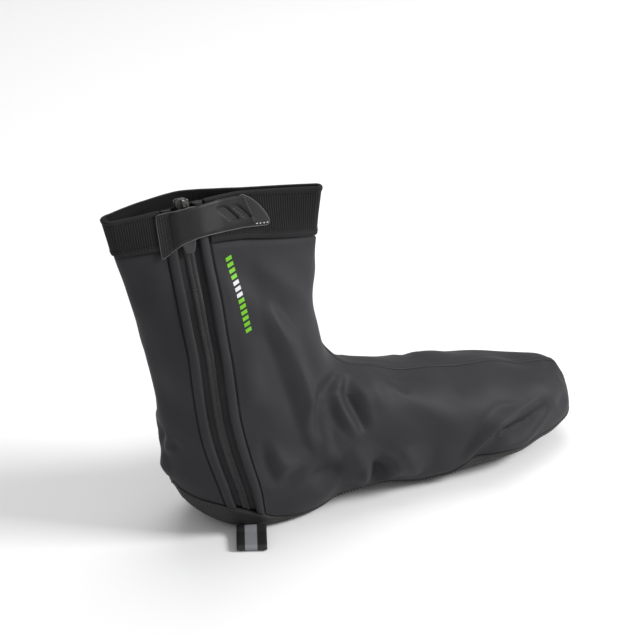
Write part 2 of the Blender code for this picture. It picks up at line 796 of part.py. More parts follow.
def plate_faces(outline, holes, step):
    """Triangles of a flat outline with holes and inner points a step apart, and their points."""
    points = []
    bounds = []
    for ring in [outline] + holes:
        start = len(points)
        ring_points = []
        for (ax, ay), (bx, by) in zip(ring, ring[1:] + ring[:1]):
            count = max(1, int(math.hypot(bx - ax, by - ay) / step))
            ring_points += [(ax + (bx - ax) * k / count, ay + (by - ay) * k / count) for k in range(count)]
        points += ring_points
        bounds += [(start + k, start + (k + 1) % len(ring_points)) for k in range(len(ring_points))]
    xs = [p[0] for p in outline]
    ys = [p[1] for p in outline]
    margin = step * 0.4
    for x in np.arange(min(xs) + step / 2, max(xs), step):
        for y in np.arange(min(ys) + step / 2, max(ys), step):
            near = min(math.hypot(px - x, py - y) for px, py in points)
            in_hole = any(within(hole, x, y, 0) for hole in holes)
            if near > margin and within(outline, x, y, 0) and not in_hole:
                points.append((float(x), float(y)))
    spots, _, triangles, _, _, _ = delaunay_2d_cdt(points, bounds, [], 1, 1e-7)
    spots = [(p.x, p.y) for p in spots]
    kept = []
    for t in triangles:
        x = sum(spots[v][0] for v in t) / 3
        y = sum(spots[v][1] for v in t) / 3
        if not any(within(hole, x, y, 0) for hole in holes):
            kept.append(tuple(t))
    return spots, kept


def make_plate(name, band, outline, holes, low, high, finish):
    """Curved plate over the cuff between two heights above the form."""
    spots, faces = plate_faces(outline, holes, 0.0045)
    seats = np.array([band.at(x, y) for x, y in spots])
    normal = outward(seats)
    lift = np.array([tab_height(x) for x, _ in spots])
    out = seats + normal * (lift + high)[:, None]
    back = seats + normal * (lift + low)[:, None]
    return thick(name, out, back, faces, finish)


def make_tab(band, backing, smooth):
    """Closure tab: mesh backing with its sewn base, and the smooth overlay with two windows."""
    outline = [tab_point(*p) for p in TAB_OUTLINE]
    make_plate("closure_tab", band, outline, [], 0.0, TAB_BACKING, backing)
    inset = OVERLAY_INSET
    top = outline[0][1] + inset
    end = [tab_point(*p) for p in OVERLAY_END]
    start = OVERLAY_START * TAB_BASE
    foot_ = [tab_point(*p) for p in TAB_OUTLINE[8:11]]
    cover = [(start, top), (end[0][0], top), (end[1][0], end[1][1] - inset)]
    cover += [(x, y - inset) for x, y in foot_[:2]]
    cover += [(start, foot_[2][1] - inset)]
    holes = [[tab_point(*p) for p in window] for window in WINDOWS]
    low = TAB_BACKING + GAP
    make_plate("tab_overlay", band, cover, holes, low, low + TAB_OVERLAY, smooth)


def zip_frame(band):
    """Place and directions at the top of the zip: forward, up the wall and outward."""
    top = band.at(0.0, 0.0)
    low = band.at(0.0, CUFF_HEIGHT)
    up = (top - low) / np.linalg.norm(top - low)
    ahead = band.at(ZIP_OPENING / 3, CUFF_HEIGHT / 2) - band.at(-ZIP_OPENING / 3, CUFF_HEIGHT / 2)
    ahead -= up * ahead.dot(up)
    ahead /= np.linalg.norm(ahead)
    out = np.cross(ahead, up)
    if out.dot(outward((top + low)[None] / 2)[0]) < 0:
        out = -out
    return top, ahead, up, out


def slab(name, frame, outline, low, high, finish):
    """Prism of an outline in two of a frame's directions, between two places on the third."""
    top, first, second, third = frame
    base = [top + first * u + second * v for u, v in outline]
    count = len(base)
    points = [p + third * low for p in base] + [p + third * high for p in base]
    faces = [tuple(range(count)), tuple(range(2 * count - 1, count - 1, -1))]
    for k in range(count):
        n = (k + 1) % count
        faces.append((k, n, n + count, k + count))
    return place_mesh(name, points, faces, finish, smooth=False)


def make_slider(frame, finish):
    """Slider clipped over the end of the coil, with the bail that holds the puller."""
    top, ahead, up, out = frame
    side = (top, up, out, ahead)
    above = SLIDER_ABOVE
    face = COIL_HEIGHT - WALL + GAP
    back = -WALL - TAPE - 4 * GAP
    profile = [
        (above - SLIDER_LENGTH, face),
        (GAP * 4, face),
        (GAP * 4, back),
        (above - SLIDER_LENGTH * 0.8, back),
        (above - SLIDER_LENGTH * 0.8, back - SLIDER_PLATE),
        (above, back - SLIDER_PLATE),
        (above, face + SLIDER_PLATE),
        (above - SLIDER_LENGTH, face + SLIDER_PLATE),
    ]
    body = slab("zip_slider", side, profile, -SLIDER_WIDTH / 2, SLIDER_WIDTH / 2, finish)
    low = face + SLIDER_PLATE
    room = PULLER_THICK + 4 * GAP
    reach = BAIL_REACH
    bar = BAIL_BAR
    sink = SLIDER_PLATE / 2
    arch = [
        (PIVOT_UP - reach - bar, low - sink),
        (PIVOT_UP - reach, low - sink),
        (PIVOT_UP - reach, low + room),
        (PIVOT_UP + reach - bar * 0.4, low + room),
        (PIVOT_UP + reach - bar * 0.4, low - sink),
        (PIVOT_UP + reach + bar * 0.6, low - sink),
        (PIVOT_UP + reach + bar * 0.6, low + room + bar * 0.5),
        (PIVOT_UP + reach - bar * 0.2, low + room + bar),
        (PIVOT_UP - reach, low + room + bar),
        (PIVOT_UP - reach - bar, low + room + bar * 0.3),
    ]
    bail = slab("bail", side, arch, -BAIL_WIDTH / 2, BAIL_WIDTH / 2, finish)
    bail.hide_render = True
    bail.display_type = "WIRE"
    join = body.modifiers.new("Bail", "BOOLEAN")
    join.operation = "UNION"
    join.solver = "EXACT"
    join.object = bail
    return low + GAP + PULLER_THICK / 2


def make_puller(frame, height, finish):
    """Pull tab with an eye round the bail, hanging down the zip."""
    top, ahead, up, out = frame
    down = -up * math.cos(PULLER_LEAN) - out * math.sin(PULLER_LEAN)
    face = out * math.cos(PULLER_LEAN) - up * math.sin(PULLER_LEAN)
    pivot = top + up * PIVOT_UP + out * height
    bar = PULLER_BAR
    neck, wide, tip = PULLER_NECK / 2, PULLER_WIDTH / 2, PULLER_TIP / 2
    outline = [
        (-neck, -bar),
        (neck, -bar),
        (neck, 0.20 * PULLER_LENGTH),
        (wide, 0.30 * PULLER_LENGTH),
        (wide, 0.70 * PULLER_LENGTH),
        (tip, PULLER_LENGTH),
        (-tip, PULLER_LENGTH),
        (-wide, 0.70 * PULLER_LENGTH),
        (-wide, 0.30 * PULLER_LENGTH),
        (-neck, 0.20 * PULLER_LENGTH),
    ]
    hole_half = BAIL_WIDTH / 2 + 2 * GAP
    hole = [(-hole_half, bar), (hole_half, bar), (hole_half, PULLER_HOLE), (-hole_half, PULLER_HOLE)]
    count = len(outline)
    bounds = [(k, (k + 1) % count) for k in range(count)]
    bounds += [(count + k, count + (k + 1) % len(hole)) for k in range(len(hole))]
    spots, _, triangles, _, _, _ = delaunay_2d_cdt(outline + hole, bounds, [], 1, 1e-7)
    kept = []
    for t in triangles:
        x = sum(spots[v].x for v in t) / 3
        y = sum(spots[v].y for v in t) / 3
        if not within(hole, x, y, 0):
            kept.append(tuple(t))
    base = np.array([pivot + ahead * p.x + down * p.y for p in spots])
    out_face = base + face * PULLER_THICK / 2
    in_face = base - face * PULLER_THICK / 2
    return thick("zip_puller", out_face, in_face, kept, finish, centre=pivot)


def make_loop(finish):
    """Folded webbing that comes out from under the heel and lies on the floor."""
    start = np.array([LOOP_START[0] * LENGTH, LOOP_START[1] * BALL])
    way = np.array([-math.sin(LOOP_TURN), -math.cos(LOOP_TURN)])
    wide = np.array([-way[1], way[0]])

    def surface(z, side):
        near, far = 0.0, BALL
        for _ in range(30):
            middle = (near + far) / 2
            x, y = start + way * middle + wide * side
            if form(np.array(x), np.array(y), np.array(z)) < 0:
                near = middle
            else:
                far = middle
        return far

    half = LOOP_WIDTH / 2
    bottom = WEBBING / 2 + GAP

    def seat(z):
        reach = [surface(z + d, s * half) for d in (-WEBBING, 0, WEBBING) for s in (-1, 0, 1)]
        return max(reach) + GAP

    rim = seat(LOOP_RIM)
    end = rim + LOOP_LENGTH
    fold = LOOP_FOLD
    path = [(seat(bottom + WEBBING), bottom), (rim, bottom), (end - 2 * fold, bottom)]
    for step in range(1, 8):
        angle = math.pi * (step / 8 - 0.5)
        path.append((end - fold + fold * math.cos(angle), bottom + fold + fold * math.sin(angle)))
    path += [(end - 2.5 * fold, bottom + 2 * fold), (rim + 0.004, bottom + 2.2 * fold), (seat(LOOP_TOP), LOOP_TOP)]
    path = np.array(path)
    tangent = np.gradient(path, axis=0)
    tangent /= np.linalg.norm(tangent, axis=1, keepdims=True)
    normal = np.column_stack([tangent[:, 1], -tangent[:, 0]])
    rows = []
    for side in (1, -1):
        line = path + normal * side * WEBBING / 2
        row = []
        for s in (-half, half):
            xy = start + way * line[:, :1] + wide * s
            row.append(np.column_stack([xy, line[:, 1]]))
        rows.append(np.stack(row, axis=1))
    faces = cells(rows[0].shape[:2], lambda j, i: i == 0)
    return thick("pull_loop", flat_list(rows[0]), flat_list(rows[1]), faces, finish)


def clear_scene():
    """Remove the objects that the scene starts with."""
    for thing in list(bpy.data.objects):
        bpy.data.objects.remove(thing, do_unlink=True)


def main():
    """Build every piece."""
    clear_scene()
    softshell = material("softshell", (0.040, 0.038, 0.041), 0.75)
    panel = material("sole_panel", (0.034, 0.030, 0.030), 0.85)
    elastic = material("elastic", (0.014, 0.014, 0.015), 0.9)
    tape = material("zip_tape", (0.022, 0.022, 0.024), 0.8)
    coil = material("zip_coil", (0.020, 0.020, 0.022), 0.55)
    metal = material("slider_metal", (0.45, 0.44, 0.43), 0.3, 1.0)
    rubber = material("puller_rubber", (0.030, 0.030, 0.032), 0.6)
    mesh_back = material("tab_backing", (0.028, 0.028, 0.030), 0.85)
    smooth = material("tab_overlay", (0.036, 0.036, 0.038), 0.5)
    webbing = material("webbing", (0.05, 0.05, 0.055), 0.8)

    body = rows_of(body_levels())
    cuff = rows_of(cuff_levels())
    side = rows_of(side_levels())
    side[-1] = body[0]
    make_sole(side, panel)
    make_upper(body, cuff, softshell)
    make_cuff(cuff, elastic)
    whole = np.concatenate([body[1:], cuff])
    make_tape("zip_tape_front", whole, WELT_FRONT[0], SPLIT[0], tape)
    make_tape("zip_tape_rear", whole, SPLIT[1], WELT_REAR[1], tape)
    make_coil(whole, coil)
    band = Band()
    make_tab(band, mesh_back, smooth)
    frame = zip_frame(band)
    height = make_slider(frame, metal)
    make_puller(frame, height, rubber)
    make_loop(webbing)


main()
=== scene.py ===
"""Looks of a cycling overshoe for the right foot, empty and standing on its sole.

A charcoal softshell bootee with a thin sole panel, a ribbed elastic cuff, a zip between two
welts, a closure tab with piped edges and a webbing loop. Metres, +Z up, toe along +X, the outer
side of the foot is -Y. The form is worked out from the back of the heel and moved to the frame's
origin, the middle of the heel's level spot, when a mesh is made.
"""

import math

import bmesh
import bpy
import numpy as np
from bpy.props import FloatProperty, FloatVectorProperty, PointerProperty
from mathutils import Matrix, Vector
from mathutils.geometry import delaunay_2d_cdt


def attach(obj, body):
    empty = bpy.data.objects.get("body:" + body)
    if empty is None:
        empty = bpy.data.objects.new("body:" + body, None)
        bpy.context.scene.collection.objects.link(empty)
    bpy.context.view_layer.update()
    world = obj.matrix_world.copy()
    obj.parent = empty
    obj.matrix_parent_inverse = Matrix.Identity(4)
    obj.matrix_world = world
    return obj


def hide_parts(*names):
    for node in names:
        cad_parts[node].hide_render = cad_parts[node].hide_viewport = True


bl_info = {
    "name": "Cycling overshoe",
    "version": (1, 0, 0),
    "blender": (4, 5, 0),
    "location": "View3D > Sidebar > Overshoe",
    "description": "Builds a softshell cycling overshoe around its packed solids",
    "category": "Object",
}

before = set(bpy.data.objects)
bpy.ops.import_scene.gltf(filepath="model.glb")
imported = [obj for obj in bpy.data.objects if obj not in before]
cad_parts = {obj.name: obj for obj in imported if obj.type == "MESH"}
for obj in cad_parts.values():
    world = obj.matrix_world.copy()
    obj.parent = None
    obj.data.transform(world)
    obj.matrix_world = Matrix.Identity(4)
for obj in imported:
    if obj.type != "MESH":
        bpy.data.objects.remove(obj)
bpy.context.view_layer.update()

# Sizes that the solids have too
LENGTH = 0.316
BALL = 0.096
INSTEP = 0.099
HEIGHT = 0.229
ANKLE_DEPTH = 0.120
ANKLE_WIDTH = 0.076
MOUTH = 0.020
COLLAR_CAMBER = 0.006
INSTEP_FILLET = 0.016
HEEL_PANEL = 0.040
WALL = 0.0015
SOLE_WALL = 0.002
CUFF_WALL = 0.0018
GAP = 0.0003
ZIP_OPENING = 0.0146
TAPE = 0.0008
COIL_HEIGHT = 0.0017
CUFF_HEIGHT = 0.0270
CUFF_PROUD = 0.0006
HEM_HEIGHT = 0.0030
HEM_PROUD = 0.0004
TAB_BACKING = 0.0008
TAB_OVERLAY = 0.0007
TAB_REACH = 0.0560
TAB_BASE = 0.0180
TAB_ARCH = 0.0046
SEAM_WIDTH = 0.0044
SEAM_SWING = 0.006
WEBBING = 0.0012
LOOP_WIDTH = 0.020
LOOP_LENGTH = 0.020
LOOP_TURN = math.radians(27.0)

# Fineness of the meshes
RAYS = 720
BODY_STEPS = 118
PANEL_COLUMNS = 148
HEEL_COLUMNS = 28
INNER_COLUMNS = 96
CUFF_COLUMNS = 900


def table(columns, rows):
    """Turn rows of numbers into one array for each named column."""
    return dict(zip(columns, np.array(rows, float).T))


# Sections of the foot, heel to toe: along in shares of LENGTH, outer and inner half widths in
# shares of BALL, top and low in shares of INSTEP, flat the share of the half width that is level.
FOOT = table(
    ("along", "outer", "inner", "top", "low", "flat"),
    [
        (0.02, 0.080, 0.080, 0.67, 0.51, 0.40),
        (0.07, 0.220, 0.220, 0.81, 0.22, 0.50),
        (0.12, 0.310, 0.310, 0.91, 0.07, 0.50),
        (0.17, 0.370, 0.355, 0.97, 0.00, 0.55),
        (0.30, 0.410, 0.375, 1.00, 0.00, 0.50),
        (0.38, 0.420, 0.385, 0.98, 0.03, 0.35),
        (0.48, 0.445, 0.410, 0.89, 0.04, 0.30),
        (0.57, 0.485, 0.455, 0.80, 0.00, 0.35),
        (0.70, 0.515, 0.490, 0.715, 0.00, 0.40),
        (0.80, 0.500, 0.490, 0.645, 0.02, 0.42),
        (0.88, 0.440, 0.450, 0.580, 0.055, 0.42),
        (0.94, 0.350, 0.370, 0.535, 0.096, 0.42),
        (0.98, 0.230, 0.260, 0.495, 0.136, 0.42),
        (1.00, 0.030, 0.030, 0.425, 0.222, 0.42),
    ],
)
HEEL_FLAT = (3, 4)
BALL_FLAT = (7, 8)
ORIGIN = np.array([FOOT["along"][list(HEEL_FLAT)].mean() * LENGTH, 0.0, 0.0])

# Sections of the shaft, floor to collar, in shares of HEIGHT, ANKLE_DEPTH and ANKLE_WIDTH.
SHAFT = table(
    ("up", "rear", "front", "half", "twist", "camber", "closed"),
    [
        (0.000, 0.433, 0.917, 0.315, 0.0, 0.00, 0.0),
        (0.017, 0.300, 0.917, 0.382, 0.0, 0.00, 0.0),
        (0.052, 0.192, 0.933, 0.434, 0.0, 0.00, 0.0),
        (0.109, 0.100, 0.967, 0.460, 0.0, 0.00, 0.0),
        (0.197, 0.025, 1.000, 0.474, 0.0, 0.00, 0.0),
        (0.306, 0.008, 1.017, 0.487, 0.0, 0.00, 0.0),
        (0.437, -0.008, 0.983, 0.500, 0.0, 0.00, 0.0),
        (0.568, -0.050, 0.942, 0.474, -2.0, 0.00, 0.0),
        (0.721, -0.117, 0.917, 0.408, -5.0, 0.17, 0.2),
        (0.873, -0.183, 0.917, 0.290, -8.0, 0.50, 0.6),
        (1.000, -0.233, 0.933, 0.184, -10.0, 1.00, 1.0),
    ],
)

# The pressed section of the collar, rear fold -1 to front fold 1, half gap in shares of MOUTH.
PRESSED = table(
    ("along", "half"),
    [(-1.0, 0.25), (-0.6, 0.465), (-0.3, 0.515), (-0.1, 0.415), (0.1, 0.26), (0.3, 0.15), (1.0, 0.13)],
)

# The seam of sole and upper: along in shares of LENGTH, up in shares of HEEL_PANEL.
SEAM = table(
    ("along", "up"),
    [
        (0.010, 0.98),
        (0.034, 0.82),
        (0.060, 0.70),
        (0.090, 0.63),
        (0.130, 0.54),
        (0.170, 0.40),
        (0.215, 0.20),
        (0.270, 0.14),
        (0.450, 0.17),
        (0.560, 0.19),
        (0.620, 0.27),
        (0.670, 0.42),
        (0.750, 0.47),
        (0.850, 0.43),
        (0.930, 0.46),
        (0.970, 0.55),
        (1.000, 0.65),
    ],
)

# Lower and upper edge of the cuff, in shares of ANKLE_DEPTH and CUFF_HEIGHT.
CUFF_EDGE = table(
    ("along", "drop", "rise"),
    [
        (-0.20, 0.11, -0.13),
        (0.03, 0.02, -0.02),
        (0.28, 0.00, 0.08),
        (0.45, 0.04, 0.08),
        (0.62, 0.15, 0.05),
        (0.93, 0.37, 0.00),
    ],
)

# Middle of the zip: up in shares of HEIGHT, along in shares of ANKLE_DEPTH.
ZIP_PATH = table(
    ("up", "along"),
    [
        (0.000, 0.600),
        (0.030, 0.450),
        (0.083, 0.373),
        (0.167, 0.327),
        (0.275, 0.270),
        (0.432, 0.213),
        (0.590, 0.188),
        (0.677, 0.177),
        (0.780, 0.172),
        (1.000, 0.165),
    ],
)

# Outline of the closure tab: ahead of the zip in shares of TAB_REACH or behind it of TAB_BASE,
# down from the collar's edge in shares of CUFF_HEIGHT.
TAB_OUTLINE = [
    (-1.00, 0.07),
    (0.74, 0.07),
    (0.84, 0.18),
    (0.92, 0.35),
    (0.98, 0.55),
    (1.00, 0.71),
    (0.97, 0.79),
    (0.86, 0.79),
    (0.10, 0.79),
    (-0.25, 0.84),
    (-0.56, 0.94),
    (-0.95, 1.08),
    (-1.00, 1.06),
]
OVERLAY_END = [(0.76, 0.09), (0.83, 0.77)]
OVERLAY_START = -0.56
OVERLAY_INSET = 0.0008
WINDOWS = [
    [(0.38, 0.26), (0.50, 0.26), (0.64, 0.58), (0.53, 0.59)],
    [(0.58, 0.28), (0.65, 0.28), (0.80, 0.57), (0.72, 0.59)],
]

# Creases: depth in shares of the crease depth, a trough where positive and a
# ridge where negative; width in millimetres; then the points of its path, along in shares of
# LENGTH, side in shares of BALL and up in shares of HEIGHT.
INSTEP_CREASES = [
    (1.0, 4.5, [(0.390, -0.17, 0.414), (0.325, -0.30, 0.404), (0.300, -0.36, 0.362), (0.300, -0.39, 0.305), (0.312, -0.41, 0.225)]),
    (0.6, 11.0, [(0.335, -0.33, 0.380), (0.335, -0.37, 0.330), (0.345, -0.39, 0.260)]),
    (-0.9, 4.5, [(0.395, -0.20, 0.408), (0.358, -0.30, 0.378), (0.372, -0.36, 0.322), (0.395, -0.40, 0.240)]),
    (1.1, 5.5, [(0.405, -0.19, 0.402), (0.388, -0.29, 0.367), (0.402, -0.38, 0.303), (0.418, -0.42, 0.250)]),
    (-0.5, 6.0, [(0.452, -0.15, 0.390), (0.452, -0.28, 0.360), (0.470, -0.38, 0.299)]),
    (0.3, 3.5, [(0.577, -0.13, 0.340), (0.598, -0.25, 0.318)]),
    (0.35, 3.5, [(0.512, -0.22, 0.355), (0.537, -0.32, 0.317)]),
    (0.3, 5.0, [(0.655, -0.13, 0.318), (0.665, -0.37, 0.274)]),
]
SHAFT_CREASES = [
    (-1.0, 6.5, [(0.210, -0.26, 0.718), (0.228, -0.34, 0.609), (0.274, -0.34, 0.480), (0.284, -0.38, 0.367), (0.302, -0.41, 0.263), (0.335, -0.41, 0.198)]),
    (0.6, 9.0, [(0.185, -0.33, 0.646), (0.209, -0.37, 0.546), (0.238, -0.39, 0.418), (0.253, -0.41, 0.301)]),
    (0.5, 9.0, [(0.210, -0.26, 0.718), (0.245, -0.29, 0.668), (0.294, -0.28, 0.594)]),
    (-0.4, 9.0, [(0.190, -0.17, 0.824), (0.236, -0.22, 0.764), (0.303, -0.20, 0.702)]),
    (-0.3, 9.0, [(0.138, -0.32, 0.660), (0.141, -0.37, 0.545), (0.159, -0.39, 0.416)]),
]
LOW_CREASES = [
    (0.6, 5.0, [(0.170, -0.40, 0.318), (0.181, -0.41, 0.219), (0.208, -0.41, 0.148)]),
    (0.6, 5.0, [(0.208, -0.41, 0.148), (0.236, -0.42, 0.172), (0.270, -0.42, 0.198)]),
    (-0.5, 6.0, [(0.191, -0.41, 0.286), (0.215, -0.42, 0.219), (0.255, -0.42, 0.217), (0.304, -0.41, 0.236)]),
    (1.2, 8.0, [(0.279, -0.42, 0.147), (0.318, -0.41, 0.152), (0.357, -0.41, 0.156)]),
    (-1.2, 9.0, [(0.381, -0.41, 0.220), (0.404, -0.42, 0.153), (0.430, -0.40, 0.080)]),
    (2.2, 6.0, [(0.468, -0.42, 0.030), (0.458, -0.42, 0.080), (0.445, -0.43, 0.125), (0.432, -0.42, 0.165)]),
    (-1.0, 9.0, [(0.498, -0.45, 0.176), (0.518, -0.46, 0.123), (0.546, -0.42, 0.069)]),
]
TOE_CREASES = [
    (-1.25, 5.5, [(0.800, -0.48, 0.196), (0.734, -0.49, 0.180), (0.690, -0.51, 0.136), (0.649, -0.49, 0.083)]),
    (1.9, 5.5, [(0.884, -0.40, 0.182), (0.845, -0.46, 0.163), (0.795, -0.50, 0.141), (0.743, -0.51, 0.135), (0.707, -0.51, 0.116), (0.669, -0.50, 0.078)]),
    (0.3, 2.6, [(0.711, -0.51, 0.161), (0.759, -0.50, 0.149), (0.805, -0.49, 0.156)]),
    (0.4, 3.0, [(0.934, -0.12, 0.229), (0.983, -0.04, 0.221)]),
    (0.3, 3.5, [(0.964, -0.17, 0.210), (0.980, -0.22, 0.171)]),
    (0.5, 4.5, [(0.963, -0.29, 0.142), (0.914, -0.38, 0.163)]),
]
HEEL_CREASES = [
    (-0.4, 6.0, [(-0.021, -0.03, 0.601), (-0.008, 0.02, 0.493), (-0.001, -0.01, 0.406)]),
    (1.4, 6.5, [(0.001, -0.01, 0.355), (0.009, 0.09, 0.279)]),
    (0.4, 3.5, [(0.009, -0.10, 0.324), (0.016, -0.13, 0.283)]),
    (-1.0, 8.0, [(0.003, 0.09, 0.209), (0.012, -0.07, 0.213)]),
]
INNER_CREASES = [
    (0.9, 6.5, [(0.395, 0.16, 0.414), (0.350, 0.28, 0.400), (0.335, 0.35, 0.350), (0.345, 0.37, 0.280)]),
    (-0.5, 6.5, [(0.415, 0.18, 0.400), (0.385, 0.29, 0.372), (0.385, 0.35, 0.310)]),
    (0.7, 5.5, [(0.440, 0.16, 0.390), (0.440, 0.29, 0.350), (0.455, 0.37, 0.280), (0.462, 0.39, 0.210)]),
    (0.6, 8.0, [(0.235, 0.30, 0.640), (0.255, 0.34, 0.520), (0.262, 0.36, 0.400)]),
    (-0.5, 8.0, [(0.285, 0.27, 0.590), (0.300, 0.32, 0.480), (0.305, 0.35, 0.380)]),
    (0.5, 7.0, [(0.120, 0.30, 0.430), (0.150, 0.34, 0.330), (0.200, 0.36, 0.270)]),
    (-0.5, 8.0, [(0.390, 0.38, 0.200), (0.410, 0.38, 0.130)]),
    (1.1, 6.0, [(0.530, 0.41, 0.075), (0.522, 0.43, 0.140), (0.510, 0.42, 0.210)]),
    (0.8, 5.5, [(0.880, 0.42, 0.170), (0.830, 0.47, 0.150), (0.770, 0.49, 0.130), (0.715, 0.49, 0.100)]),
    (-0.5, 5.5, [(0.860, 0.43, 0.200), (0.800, 0.48, 0.182), (0.740, 0.49, 0.165)]),
    (0.3, 4.5, [(0.620, 0.15, 0.325), (0.640, 0.33, 0.280)]),
]
CREASES = INSTEP_CREASES + SHAFT_CREASES + LOW_CREASES + TOE_CREASES + HEEL_CREASES + INNER_CREASES

# Slow waves of the cloth: how many to a metre along, across and up, phase, share of the depth.
CLOTH_WAVES = [
    (13.0, 9.0, 17.0, 0.4, 0.16),
    (-19.0, 12.0, 11.0, 1.9, 0.12),
    (24.0, -17.0, 9.0, 3.1, 0.09),
    (9.0, 23.0, -26.0, 4.6, 0.08),
    (33.0, 11.0, 29.0, 5.4, 0.05),
]


def curve(columns, name, at, key):
    """Monotone cubic through one column of a table."""
    xs = columns[key]
    ys = columns[name]
    step = np.diff(xs)
    rate = np.diff(ys) / step
    slope = np.zeros_like(ys)
    same = rate[:-1] * rate[1:] > 0
    first = 2 * step[1:] + step[:-1]
    second = step[1:] + 2 * step[:-1]
    with np.errstate(divide="ignore", invalid="ignore"):
        mean = (first + second) / (first / rate[:-1] + second / rate[1:])
    slope[1:-1] = np.where(same, mean, 0.0)
    slope[0] = rate[0]
    slope[-1] = rate[-1]
    at = np.clip(at, xs[0], xs[-1])
    i = np.clip(np.searchsorted(xs, at) - 1, 0, len(xs) - 2)
    t = (at - xs[i]) / step[i]
    near = (1 + 2 * t) * (1 - t) ** 2 * ys[i] + t * (1 - t) ** 2 * step[i] * slope[i]
    far = t * t * (3 - 2 * t) * ys[i + 1] + t * t * (t - 1) * step[i] * slope[i + 1]
    return near + far


def floor_level(x):
    """Height of the underside: level at the heel, then arch and toe spring."""
    share = np.maximum(x / LENGTH, FOOT["along"][HEEL_FLAT[0]])
    return curve(FOOT, "low", share, "along") * INSTEP


def seam_level(x):
    """Height of the seam between sole and upper."""
    return curve(SEAM, "up", x / LENGTH, "along") * HEEL_PANEL


def cuff_level(x):
    """Height of the cuff's lower edge."""
    return HEIGHT - CUFF_HEIGHT * (0.9 + curve(CUFF_EDGE, "drop", x / ANKLE_DEPTH, "along"))


def collar_level(x):
    """Height of the collar's edge."""
    return HEIGHT + CUFF_HEIGHT * curve(CUFF_EDGE, "rise", x / ANKLE_DEPTH, "along")


def zip_place(z):
    """How far forward the middle of the zip lies at a height."""
    return curve(ZIP_PATH, "along", z / HEIGHT, "up") * ANKLE_DEPTH


def foot(x, y, z):
    """Signed distance, roughly, to the foot part: rounder above its widest level than below."""
    share = x / LENGTH
    outer = curve(FOOT, "outer", share, "along") * BALL
    inner = curve(FOOT, "inner", share, "along") * BALL
    top = curve(FOOT, "top", share, "along") * INSTEP
    low = curve(FOOT, "low", share, "along") * INSTEP
    half = np.where(y < 0, outer, inner)
    level = half * curve(FOOT, "flat", share, "along")
    wide = low + (top - low) * 0.36
    above = z > wide
    up = np.where(above, (z - wide) / (top - wide), (wide - z) / (wide - low))
    side = np.where(above, np.abs(y) / half, np.maximum(np.abs(y) - level, 0) / (half - level))
    power = np.where(above, 2.5, 2.0)
    reach = (side**power + np.abs(up) ** power) ** (1 / power)
    past = np.maximum(share - FOOT["along"][-1], 0) + np.maximum(FOOT["along"][0] - share, 0)
    scale = np.where(above, 0.40, 0.23) * BALL
    return (reach - 1) * scale + past * LENGTH * 40


def shaft(x, y, z):
    """Signed distance, roughly, to the shaft: oval at the ankle, pressed flat at the collar."""
    up = z / HEIGHT
    rear = curve(SHAFT, "rear", up, "up") * ANKLE_DEPTH
    front = curve(SHAFT, "front", up, "up") * ANKLE_DEPTH
    half = curve(SHAFT, "half", up, "up") * ANKLE_WIDTH
    turn = np.radians(curve(SHAFT, "twist", up, "up"))
    camber = curve(SHAFT, "camber", up, "up") * COLLAR_CAMBER
    closed = curve(SHAFT, "closed", up, "up")
    ahead = x - (rear + front) / 2
    depth = (front - rear) / 2 / np.cos(turn)
    along = ahead * np.cos(turn) + y * np.sin(turn)
    across = y * np.cos(turn) - ahead * np.sin(turn)
    share = np.clip(along / depth, -1, 1)
    bent = across - camber * (1 - share**2)
    oval = (np.hypot(along / depth, bent / half) - 1) * ANKLE_WIDTH / 2
    ends = PRESSED["half"] * MOUTH
    core = np.clip(along, ends[0] - depth, depth - ends[-1])
    share = core / depth
    gap = curve(PRESSED, "half", share, "along") * MOUTH
    pressed = np.hypot(along - core, across - camber * (1 - share**2)) - gap
    return oval * (1 - closed) + pressed * closed


def form(x, y, z):
    """The overshoe's outer form: foot and shaft with a fillet over the instep."""
    first = foot(x, y, z)
    second = shaft(x, y, z)
    mix = np.clip(0.5 + 0.5 * (second - first) / INSTEP_FILLET, 0, 1)
    return second * (1 - mix) + first * mix - INSTEP_FILLET * mix * (1 - mix)


def outward(points):
    """Unit normals of the form at points near it."""
    d = 0.0002
    x, y, z = points[..., 0], points[..., 1], points[..., 2]
    slope = np.stack(
        [
            form(x + d, y, z) - form(x - d, y, z),
            form(x, y + d, z) - form(x, y - d, z),
            form(x, y, z + d) - form(x, y, z - d),
        ],
        axis=-1,
    )
    return slope / np.linalg.norm(slope, axis=-1, keepdims=True)


def crossing(start, direction, reach):
    """Distances along rays from inside the form to its surface."""
    near = np.zeros(len(direction))
    far = np.full(len(direction), reach)
    for _ in range(26):
        middle = (near + far) / 2
        p = start(direction * middle[:, None])
        inside = form(p[:, 0], p[:, 1], p[:, 2]) < 0
        near = np.where(inside, middle, near)
        far = np.where(inside, far, middle)
    return near


def loop_on(level, centre, half_depth):
    """The form's loop on a sheet z = level(x), from the toe side towards the outer side."""
    z = float(level(np.array(centre)))
    turn = math.radians(float(curve(SHAFT, "twist", max(z / HEIGHT, 0), "up")))
    ys = np.linspace(-BALL, BALL, 241)
    inside = ys[form(np.full(241, centre), ys, np.full(241, z)) < 0]
    middle = (inside[0] + inside[-1]) / 2
    half_width = (inside[-1] - inside[0]) / 2
    angle = np.linspace(0, -2 * math.pi, RAYS, endpoint=False)
    along = np.cos(angle) * half_depth
    across = np.sin(angle) * half_width
    rays = np.stack(
        [
            along * math.cos(turn) - across * math.sin(turn),
            along * math.sin(turn) + across * math.cos(turn),
            np.zeros(RAYS),
        ],
        axis=-1,
    )

    def place(offset):
        x = centre + offset[:, 0]
        return np.stack([x, middle + offset[:, 1], level(x)], axis=-1)

    return place(rays * crossing(place, rays, 2.6)[:, None])


